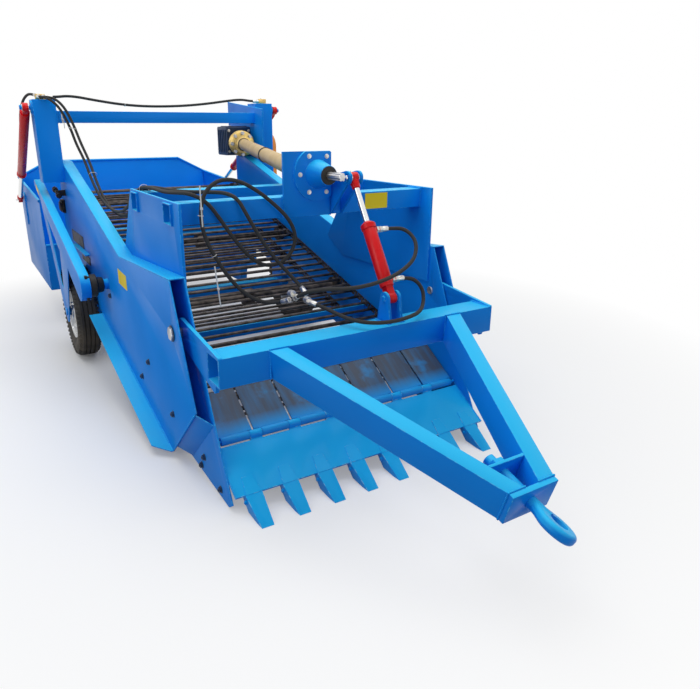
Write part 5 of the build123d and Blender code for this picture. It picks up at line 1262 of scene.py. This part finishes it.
@dataclass
class DriveDress:
    """The drive line: yoke, clutch with its springs, guard rings, input seal, gearbox ribs and bolts."""

    joint: Point = (22.0, 800.0, 1250.0)
    gearbox_face: Point = (614.0, 2885.0, 1330.0)
    clutch_front: float = 2026.0
    hub_front: float = 1966.0
    yoke: Pairs = ((12, 38), (30, 39), (85, 34), (90, 20))
    hub: Pairs = ((0, 44), (4, 52), (14, 52), (16, 46), (24, 46), (26, 64), (40, 64), (43, 56), (60, 56))
    discs: int = 6
    disc_pitch: float = 17.2
    disc_rims: Pair = (87.0, 94.0)
    disc: Pairs = ((0, -6), (3, 0), (13, 0), (15.5, -6))
    clutch_ends: tuple[Pair, Pair] = ((-3, 50), (105, 46))
    springs: int = 8
    spring_circle: float = 78.0
    spring_lead: float = 34.0
    spring_bolt: Pair = (150.0, 6.0)
    spring_heads: tuple[Point, Point] = ((2, 21, 10), (140, 21, 9))
    coils: int = 5
    coil_foot: float = 15.5
    coil_pitch: float = 4.5
    coil: Pair = (11.0, 2.2)
    collars: Point = (162.0, 980.0, 1936.0)
    collar: Pairs = ((-12, 42.5), (-10, 46), (10, 46), (12, 42.5))
    ribs: int = 5
    rib_front: float = 2912.0
    rib_pitch: float = 36.0
    side_rib: tuple[Pair, Point] = ((504.5, 1342), (9, 8, 170))
    top_rib: tuple[Pair, Point] = ((606, 1450.5), (160, 8, 8))
    cover: Pairs = ((0, 75), (10, 75), (16, 58), (20, 30))
    cover_circle: float = 58.0
    cover_bolt: float = 9.0
    case_bolts: tuple[Pair, Pair] = ((524, 690), (1264, 1420))
    plug: Point = (600.0, 3040.0, 1449.0)
    seal_station: float = 539.0
    seal: Pairs = ((0, 40), (4, 40), (6, 30), (7, 20))

    def build(self) -> None:
        """Make the turned drive line and dress the guard and the gearbox."""
        start, end = at(*self.joint), at(*self.gearbox_face)
        aim = (end - start).normalized()
        self._shaft(start, aim)
        self._springs(start, aim)
        self._guard(start, aim)
        self._gearbox(end)
        self._seal()

    def _shaft(self, start: Vector, aim: Vector) -> None:
        """Yoke, shaft, hub and the stacked discs of the clutch, in place of the CAD shaft.

        Args:
            start: Middle of the joint.
            aim: Along the shaft.
        """
        work = Workpiece()
        work.lathe(start, aim, [*self.yoke, (self.hub_front, self.yoke[-1][1])], 40)
        work.lathe(start, aim, [(self.hub_front + along, radius) for along, radius in self.hub], 48)
        profile = []
        for index in range(self.discs):
            low, rim = index * self.disc_pitch, self.disc_rims[index % 2]
            profile += [(low + along, rim + step) for along, step in self.disc]
        first, last = self.clutch_ends
        profile = [first, *profile, last]
        work.lathe(start, aim, [(self.clutch_front + along, radius) for along, radius in profile], 56)
        piece = place("driveline_piece", work.mesh("driveline_piece", smooth=35), Finishes.GOLD, "driveline")
        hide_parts("driveline")

    def _springs(self, start: Vector, aim: Vector) -> None:
        """The spring packs that press the clutch discs together, each with its bolt.

        Args:
            start: Middle of the joint.
            aim: Along the shaft.
        """
        work = Workpiece()
        side = aim.orthogonal().normalized()
        long, radius = self.spring_bolt
        for index in range(self.springs):
            out = Matrix.Rotation(tau * index / self.springs, 3, aim) @ side
            base = start + aim * (self.clutch_front - self.spring_lead) * MM + out * self.spring_circle * MM
            work.cone(base, base + aim * long * MM, radius, sides=10)
            for foot, across, high in self.spring_heads:
                work.hexagon(base + aim * foot * MM, aim, across, high)
            for coil in range(self.coils):
                work.ring(base + aim * (self.coil_foot + self.coil_pitch * coil) * MM, aim, *self.coil, 16, 6)
        place("clutch_springs", work.mesh("clutch_springs"), Finishes.STEEL, "driveline")

    def _guard(self, start: Vector, aim: Vector) -> None:
        """The dark bearing rings of the shaft guard.

        Args:
            start: Middle of the joint.
            aim: Along the shaft.
        """
        work = Workpiece()
        for reach in self.collars:
            work.lathe(start + aim * reach * MM, aim, self.collar, 40)
        place("guard_rings", work.mesh("guard_rings"), Finishes.BLACK, "driveline")

    def _gearbox(self, face: Vector) -> None:
        """Ribs, cover, plug and bolts on the gearbox.

        Args:
            face: Where the shaft meets the gearbox's front face.
        """
        work = Workpiece()
        for rib in range(self.ribs):
            for (x, height), size in (self.side_rib, self.top_rib):
                work.block(at(x, self.rib_front + rib * self.rib_pitch, height), size)
        work.lathe(face - FRONT * MM, FRONT, self.cover, 40)
        place("gearbox_ribs", work.mesh("gearbox_ribs", 2.0), Finishes.DARK, "chassis")
        circle = self.cover_circle
        spots = [(face + Vector((circle * cos(angle), -self.cover_bolt, circle * sin(angle))) * MM, FRONT)
                 for angle in (pi / 4, 3 * pi / 4, 5 * pi / 4, 7 * pi / 4)]
        across, heights = self.case_bolts
        spots += [(at(x, self.gearbox_face[1], z), FRONT) for x in across for z in heights]
        spots.append((at(*self.plug), UP))
        Fasteners().build("gearbox_bolts", spots, "chassis", Finishes.ZINC, 0.8)

    def _seal(self) -> None:
        """The lip seal round the splined input stub."""
        work = Workpiece()
        x, _, z = self.joint
        work.lathe(at(x, self.seal_station, z), FRONT, self.seal, 36)
        place("input_seal", work.mesh("input_seal", 0.6), Finishes.BLACK, "chassis")


@dataclass
class CylinderDress:
    """The gland, port adaptors, pin washers, rod eye and grease nipple of one hydraulic cylinder."""

    name: str
    x: float
    foot: Pair
    head: Pair
    barrel: float
    barrel_end: float
    rod: float
    eye: float
    eye_wide: float
    ports: tuple[float, ...] = ()
    gland_back: float = 26.0
    gland_barrel: Pairs = ((0, 0.5), (2, 3.5), (22, 3.5), (27, -2))
    gland_rod: Pairs = ((34, 6), (37, 1))
    port_out: float = 4.0
    port_nut: Pair = (26.0, 12.0)
    port_neck: Pair = (18.0, 10.5)
    washer: Pairs = ((0, 21), (3, 21))
    eye_skin: float = 1.2
    eye_gap: float = 0.6
    neck_back: float = 30.0
    neck: Pairs = ((0, 1.2), (4, 5), (20, 7))
    neck_end: Pair = (38.0, 0.86)
    nipple: tuple[float, ...] = (-2.0, 9.0, 4.2, 2.6)

    def build(self) -> None:
        """Dress the barrel and the rod."""
        foot, head = at(self.x, *self.foot), at(self.x, *self.head)
        aim = (head - foot).normalized()
        self._barrel(foot, aim)
        self._rod(head, aim)

    def _barrel(self, foot: Vector, aim: Vector) -> None:
        """The gland at the mouth of the barrel, the port adaptors and the washers on its pin.

        Args:
            foot: Middle of the barrel's pin.
            aim: From the barrel to the rod.
        """
        gland = Workpiece()
        profile = [(along, self.barrel + step) for along, step in self.gland_barrel]
        profile += [(along, self.rod + step) for along, step in self.gland_rod]
        gland.lathe(foot + aim * (self.barrel_end - self.gland_back) * MM, aim, profile, 40)
        place(f"{self.name}_gland", gland.mesh("gland", smooth=30), Finishes.RED, f"{self.name}_barrel")
        metal = Workpiece()
        reach, neck = self.port_neck
        for port in self.ports:
            spot = foot + aim * port * MM + LEFT * (self.barrel + self.port_out) * MM
            metal.hexagon(spot, LEFT, *self.port_nut)
            metal.cone(spot, spot + LEFT * reach * MM, neck, sides=18)
        for sign in (1, -1):
            metal.lathe(foot + LEFT * sign * (self.eye_wide / 2 + 1) * MM, LEFT * sign, self.washer, 24)
        place(f"{self.name}_adaptors", metal.mesh("adaptors", 0.6), Finishes.ZINC, f"{self.name}_barrel")

    def _rod(self, head: Vector, aim: Vector) -> None:
        """The painted eye that is welded on the rod, and a grease nipple in it.

        Args:
            head: Middle of the rod's pin.
            aim: From the barrel to the rod.
        """
        eye, half = self.eye + self.eye_skin, self.eye_wide / 2 - self.eye_gap
        work = Workpiece()
        work.cone(head - LEFT * half * MM, head + LEFT * half * MM, eye, sides=36)
        end, share = self.neck_end
        profile = [(along, self.rod + step) for along, step in self.neck]
        work.lathe(head - aim * (eye + self.neck_back) * MM, aim, [*profile, (end, eye * share)], 32)
        place(f"{self.name}_rod_eye", work.mesh("rod_eye", 1.2), Finishes.RED, f"{self.name}_rod")
        nipple = Workpiece()
        low, high, wide, tip = self.nipple
        nipple.cone(head + aim * (eye + low) * MM, head + aim * (eye + high) * MM, wide, tip, 12)
        place(f"{self.name}_nipple", nipple.mesh("nipple"), Finishes.ZINC, f"{self.name}_rod")


@dataclass
class DrawbarDress:
    """Weld seams of the drawbar and the washers on its pivot pins."""

    tube_front: float = 150.0
    tube_middle: float = 595.0
    slope: float = 16.5
    root: Pair = (393.0, 471.0)
    root_heights: Point = (540.0, 650.0, 656.0)
    tip: Pair = (32.0, 101.0)
    tip_rise: float = 58.5
    tip_side: Pair = (56.0, -56.0)
    end: float = 898.0
    stiffener: Pair = (79.0, 779.0)
    stiffener_side: Pair = (48.0, -48.0)
    ear_seam: tuple[Point, Point] = ((661, 152, 653), (661, 268, 656))
    clevis_seams: Pair = (94.0, 178.0)
    clevis_run: Pair = (170.0, 260.0)
    pin: Point = (731.0, 560.0, 645.0)
    washer: Pairs = ((-12, 34), (-8, 34))

    def _on(self, x: float, reach: float, rise: float) -> Vector:
        """A place on a beam.

        Args:
            x: Its distance from the middle plane.
            reach: Its distance down the beam's slope.
            rise: Its height over the beam's middle line.

        Returns:
            The place, in the shared frame.
        """
        slope = radians(self.slope)
        return at(x, self.tube_front - reach * cos(slope) - rise * sin(slope),
                  self.tube_middle - reach * sin(slope) + rise * cos(slope))

    def build(self) -> None:
        """Lay the seams and set the washers."""
        seams, metal = [], Workpiece()
        low, high, top = self.root_heights
        brace, reach = self.stiffener
        for sign in SIDES.values():
            seams.append([self._on(sign * x, self.end, self.tip_rise) for x in self.tip])
            seams.append([self._on(sign * self.tip[1], self.end, rise) for rise in self.tip_side])
            seams.append([self._on(sign * brace, reach, rise) for rise in self.stiffener_side])
            seams += [[at(sign * x, self.tube_front - 2, height) for height in (low, high)] for x in self.root]
            seams.append([at(sign * x, self.tube_front - 3, top) for x in self.root])
            seams.append([at(sign * x, *spot) for x, *spot in self.ear_seam])
            x, *spot = self.pin
            metal.lathe(at(sign * x, *spot), outward(sign), self.washer, 32)
        seams += [[at(x, station, top) for station in self.clevis_run] for x in self.clevis_seams]
        Welds().build("drawbar_welds", seams, "drawbar")
        place("pivot_washers", metal.mesh("pivot_washers", 0.6), Finishes.DARK, "chassis")


@dataclass
class ShareDress:
    """Weld beads where the blade meets the walls, and the pads and dowel bolts at the roots of the tines."""

    angle: float = SHARE_ANGLE
    pitch: float = 163.0
    count: int = 8
    root: float = 73.0
    seam_x: float = 646.0
    seam: Pair = (152.0, 388.0)
    bead: Point = (5.0, 4.2, 2.2)
    bolt: Point = (3.0, 132.0, -26.0)
    pad: Pairs = ((-35, 148), (35, 148), (24, 228), (-24, 228))
    pad_lift: float = 0.2
    pad_thick: float = 2.4

    def _on(self, x: float, reach: float, rise: float = 0.0) -> Vector:
        """A place on the share.

        Args:
            x: Its distance from the middle plane.
            reach: Its distance up the slope from the tine tips.
            rise: Its height over the upper face.

        Returns:
            The place, in the shared frame.
        """
        slope = radians(self.angle)
        return at(x, reach * cos(slope) - rise * sin(slope), reach * sin(slope) + rise * cos(slope))

    def build(self) -> None:
        """Lay the beads, and set the pads and bolts."""
        seams = [[self._on(sign * self.seam_x, reach) for reach in self.seam] for sign in SIDES.values()]
        Welds(bead=self.bead).build("share_welds", seams, "chassis", Finishes.SHARE)
        bolts, pads = [], Workpiece()
        inset, reach, rise = self.bolt
        for index in range(self.count):
            x = (index - (self.count - 1) / 2) * self.pitch
            pads.plate([self._on(x + shift, along, self.pad_lift) for shift, along in self.pad],
                       self._on(0, 0, self.pad_thick) - self._on(0, 0))
            bolts += [(self._on(x + side * (self.root / 2 - inset), reach, rise), outward(side))
                      for side in (-1, 1)]
        Fasteners().build("tine_bolts", bolts, "chassis", Finishes.SHARE, 0.8)
        place("tine_pads", pads.mesh("tine_pads", 1.0), Finishes.SHARE, "chassis")


@dataclass
class Wheel:
    """A road wheel: a tyre with ribbed tread and shoulder blocks, wheel nuts, hub cap and valve.

    The section is half of the tyre's: (distance from the middle, radius), from the bead up to the tread.
    """

    side: str
    middle: float = 791.5
    station: float = 2380.0
    radius: float = 300.0
    section: Pairs = ((48, 166), (50, 180), (57, 188), (57.5, 192), (63, 206), (67, 230), (67.2, 236),
                        (66, 250), (64.5, 252), (63.5, 262), (60, 276), (54, 288), (48, 296), (45, 299),
                        (30, 300), (29, 292), (24, 292), (23, 300), (4, 300), (3, 292))
    blocks: int = 56
    block: Point = (17.0, 30.0, 13.0)
    block_spot: Pair = (52.0, 286.0)
    block_lean: float = 0.75
    cap_foot: float = 54.5
    cap: Pairs = ((0, 36), (4, 36), (12, 31), (16, 20), (17, 4))
    nuts: int = 5
    nut_spot: Pair = (23.7, 88.0)
    valve_foot: Point = (24.0, 60.0, 130.0)
    valve_run: Point = (26.0, -4.0, -9.0)
    valve: Pair = (4.0, 3.0)

    def build(self) -> None:
        """Make the tyre in place of the CAD tyre, and dress the rim."""
        sign = SIDES[self.side]
        hub = at(sign * self.middle, self.station, self.radius)
        self._tyre(hub, outward(sign))
        self._hub(hub, outward(sign))

    def _tyre(self, hub: Vector, out: Vector) -> None:
        """The tyre's body, turned, and its shoulder blocks.

        Args:
            hub: Middle of the wheel.
            out: Away from the machine.
        """
        body = Workpiece()
        other = [(-reach, radius) for reach, radius in reversed(self.section)]
        body.lathe(hub, out, [*self.section, *other], 96, capped=False)
        piece = place(f"tyre_{self.side}_piece", body.mesh("tyre", smooth=32), Finishes.TYRE,
                      f"wheel_{self.side}")
        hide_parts(f"tyre_{self.side}")
        spots = []
        reach, radius = self.block_spot
        for index in range(self.blocks):
            for flank in (1, -1):
                angle = tau * (index + 0.25 * flank) / self.blocks
                ray = Vector((0, cos(angle), sin(angle)))
                spots.append((hub + out * flank * reach * MM + ray * radius * MM,
                              (ray + out * flank * self.block_lean).normalized(),
                              Vector((0, -sin(angle), cos(angle)))))
        block = Workpiece()
        block.block(Vector((0, 0, 0)), self.block)
        inputs = {"Size": 1.0, "Finish": Finishes.TYRE.value.material()}
        tread = grown(point_mesh("tread_spots", spots), Trees.on_points(), inputs,
                      block.mesh("tread_block", 1.5))
        place(f"tread_{self.side}", tread, Finishes.TYRE, f"wheel_{self.side}")

    def _hub(self, hub: Vector, out: Vector) -> None:
        """Hub cap, wheel nuts and valve.

        Args:
            hub: Middle of the wheel.
            out: Away from the machine.
        """
        cap = Workpiece()
        cap.lathe(hub + out * self.cap_foot * MM, out, self.cap, 36)
        place(f"hub_cap_{self.side}", cap.mesh("hub_cap", smooth=50), Finishes.ZINC, f"wheel_{self.side}")
        spots = []
        reach, circle = self.nut_spot
        for index in range(self.nuts):
            angle = tau * index / self.nuts
            spots.append((hub + out * reach * MM + Vector((0, cos(angle), sin(angle))) * circle * MM, out))
        Fasteners().build(f"wheel_nuts_{self.side}", spots, f"wheel_{self.side}", Finishes.ZINC, 1.1)
        valve = Workpiece()
        foot = hub + (out * self.valve_foot[0] + Vector((0, *self.valve_foot[1:]))) * MM
        tip = foot + (out * self.valve_run[0] + Vector((0, *self.valve_run[1:]))) * MM
        valve.cone(foot, tip, *self.valve, 10)
        place(f"valve_{self.side}", valve.mesh("valve"), Finishes.BLACK, f"wheel_{self.side}")


@dataclass
class HopperDress:
    """Rolled rims, rear ribs and weld seams of the hopper."""

    half: float = 855.0
    front: Pair = (3200.0, 930.0)
    rear: Pair = (4450.0, 1020.0)
    crown: Pair = (600.0, 1150.0)
    lip: float = 600.0
    rim: float = 11.0
    rim_out: float = 4.0
    rim_in: float = 2.0
    ribs: tuple[float, ...] = (-540.0, -180.0, 180.0, 540.0)
    rib: tuple[float, Point] = (690.0, (50, 26, 820))
    sill: tuple[float, Point] = (300.0, (1640, 24, 60))
    rib_out: float = 12.0
    seam_in: float = 4.0
    seam_runs: tuple[tuple[Pair, Pair], ...] = (((3206, 262), (4440, 262)), ((4443, 264), (4443, 1010)))
    seam_step: float = 9.0

    def build(self) -> None:
        """Make the rims, ribs and seams."""
        rims, ribs, seams = Workpiece(), Workpiece(), []
        back, behind = self.rear[0] - self.rim_in, self.rear[0] + self.rib_out
        runs = []
        for sign in SIDES.values():
            x = sign * (self.half + self.rim_out)
            runs.append((at(x, *self.front), at(x, *self.rear)))
            runs.append((at(sign * self.half, back, self.rear[1]),
                         at(sign * self.crown[0], back, self.crown[1])))
            seams += [[at(sign * (self.half - self.seam_in), *spot) for spot in run] for run in self.seam_runs]
        runs.append((at(-self.crown[0], back, self.crown[1]), at(self.crown[0], back, self.crown[1])))
        lip = self.front[0] + self.rim_in
        runs.append((at(-self.half, lip, self.lip), at(self.half, lip, self.lip)))
        for start, end in runs:
            rims.cone(start, end, self.rim, sides=16)
        for x in self.ribs:
            ribs.block(at(x, behind, self.rib[0]), self.rib[1])
        ribs.block(at(0, behind, self.sill[0]), self.sill[1])
        place("hopper_rims", rims.mesh("hopper_rims", smooth=50), Finishes.BLUE, "hopper")
        place("hopper_ribs", ribs.mesh("hopper_ribs", 3.0), Finishes.BLUE, "hopper")
        Welds(step=self.seam_step).build("hopper_welds", seams, "hopper")


@dataclass
class Studio:
    """The floor, the light and the camera of the photograph.

    A lamp is (name, place, target, size, power); its places and size and the fade are in metres.
    """

    image: tuple[int, int] = (700, 689)
    focal_px: float = 619.5
    centre_px: Pair = (330.0, 330.0)
    yaw: float = 31.05
    pitch: float = 18.27
    eye: Point = (-1.408, -3.621, 1.458)
    sensor: float = 36.0
    fade: Pair = (0.8, 3.4)
    floor: Pairs = ((-20, 60000), (-0.1, 60000))
    grey: Pair = (0.40, 0.95)
    sky: Colour = (0.92, 0.96, 1.0)
    sky_power: float = 0.34
    lamps: tuple[tuple[str, Point, Point, float, float], ...] = (
        ("over", (0, 0, 5.5), (0, 0, 0), 6.0, 225.0),
        ("key", (-5.0, -2.5, 2.6), (0, -0.3, 0.6), 3.0, 52.0),
        ("fill", (1.5, -7.0, 2.2), (0, 0, 0.6), 3.0, 34.0))

    def build(self) -> None:
        """Set the stage."""
        self._floor()
        self._lights()
        self._camera()
        bpy.context.scene.view_settings.view_transform = "Standard"

    def _white(self, pen: Canvas) -> Socket:
        """1 on rays that see the background, straight or by reflection."""
        path = pen.add("ShaderNodeLightPath")
        seen = pen.maths("MAXIMUM", path.outputs["Is Camera Ray"], path.outputs["Is Glossy Ray"])
        return pen.maths("MAXIMUM", seen, path.outputs["Is Transmission Ray"])

    def _floor(self) -> None:
        """A wide pale floor."""
        work = Workpiece()
        work.lathe(Vector((0, 0, 0)), UP, self.floor, 64)
        floor = bpy.data.objects.new("floor", work.mesh("floor"))
        bpy.context.scene.collection.objects.link(floor)
        material = bpy.data.materials.new("pale_floor")
        material.use_nodes = True
        pen = Canvas(material.node_tree)
        seen = self._white(pen)
        tone = pen.mix(seen, *((grey,) * 3 for grey in self.grey))
        lit = pen.add("ShaderNodeBsdfDiffuse", {"Color": tone})
        white = pen.add("ShaderNodeEmission", {"Strength": 1.0})
        coords = pen.add("ShaderNodeTexCoord").outputs["Object"]
        away = pen.add("ShaderNodeVectorMath", {0: coords}, operation="LENGTH").outputs["Value"]
        share = pen.maths("MULTIPLY", seen, pen.ramp(away, *self.fade))
        both = pen.add("ShaderNodeMixShader", {0: share, 1: lit.outputs[0], 2: white.outputs[0]})
        pen.add("ShaderNodeOutputMaterial", {"Surface": both.outputs[0]})
        floor.data.materials.append(material)

    def _lights(self) -> None:
        """An even sky, and the lamps overhead, on the machine's right and low in front."""
        world = bpy.data.worlds.new("sky")
        world.use_nodes = True
        pen = Canvas(world.node_tree)
        lit = pen.add("ShaderNodeBackground", {"Color": (*self.sky, 1.0), "Strength": self.sky_power})
        white = pen.add("ShaderNodeBackground", {"Color": (1.0, 1.0, 1.0, 1.0), "Strength": 1.0})
        both = pen.add("ShaderNodeMixShader", {0: self._white(pen), 1: lit.outputs[0], 2: white.outputs[0]})
        pen.add("ShaderNodeOutputWorld", {"Surface": both.outputs[0]})
        bpy.context.scene.world = world
        for name, spot, target, size, power in self.lamps:
            lamp = bpy.data.lights.new(name, "AREA")
            lamp.size = size
            lamp.energy = power
            holder = bpy.data.objects.new(name, lamp)
            bpy.context.scene.collection.objects.link(holder)
            holder.location = spot
            holder.rotation_euler = (Vector(target) - Vector(spot)).to_track_quat("-Z", "Y").to_euler()

    def _camera(self) -> None:
        """The camera fitted to the photograph."""
        camera = bpy.data.cameras.new("photo_camera")
        wide, high = self.image
        camera.sensor_fit = "HORIZONTAL"
        camera.sensor_width = self.sensor
        camera.lens = self.focal_px / wide * self.sensor
        camera.shift_x = (wide / 2 - self.centre_px[0]) / wide
        camera.shift_y = (self.centre_px[1] - high / 2) / wide
        camera.clip_end = 200.0
        holder = bpy.data.objects.new("photo_camera", camera)
        bpy.context.scene.collection.objects.link(holder)
        yaw, pitch = radians(self.yaw), radians(self.pitch)
        ahead = Vector((sin(yaw) * cos(pitch), cos(yaw) * cos(pitch), -sin(pitch)))
        holder.location = self.eye
        holder.rotation_euler = ahead.to_track_quat("-Z", "Y").to_euler()
        bpy.context.scene.camera = holder


def main() -> None:
    """Build every part of the machine in order, then the studio round it."""
    logging.basicConfig(level=logging.INFO, format="%(name)s %(message)s")
    Studio().build()
    Hoses().build()
    PlateWork().build()
    RodWeb().build()
    ShareDress().build()
    WallDress().build()
    HeadDress().build()
    DriveDress().build()
    DrawbarDress().build()
    HopperDress().build()
    CylinderDress("lift", x=136.0, foot=(215, 757), head=(520, 1238), barrel=30.0, barrel_end=344.5, rod=13.0,
                  eye=23.8, eye_wide=34.0, ports=(80.0, 315.0)).build()
    for side, sign in SIDES.items():
        CylinderDress(f"tip_{side}", x=sign * 899.0, foot=(2850, 1570), head=(4150, 860), barrel=31.0,
                      barrel_end=1007.3, rod=17.5, eye=28.5, eye_wide=34.0).build()
        Wheel(side).build()


if __name__ == "__main__":
    main()
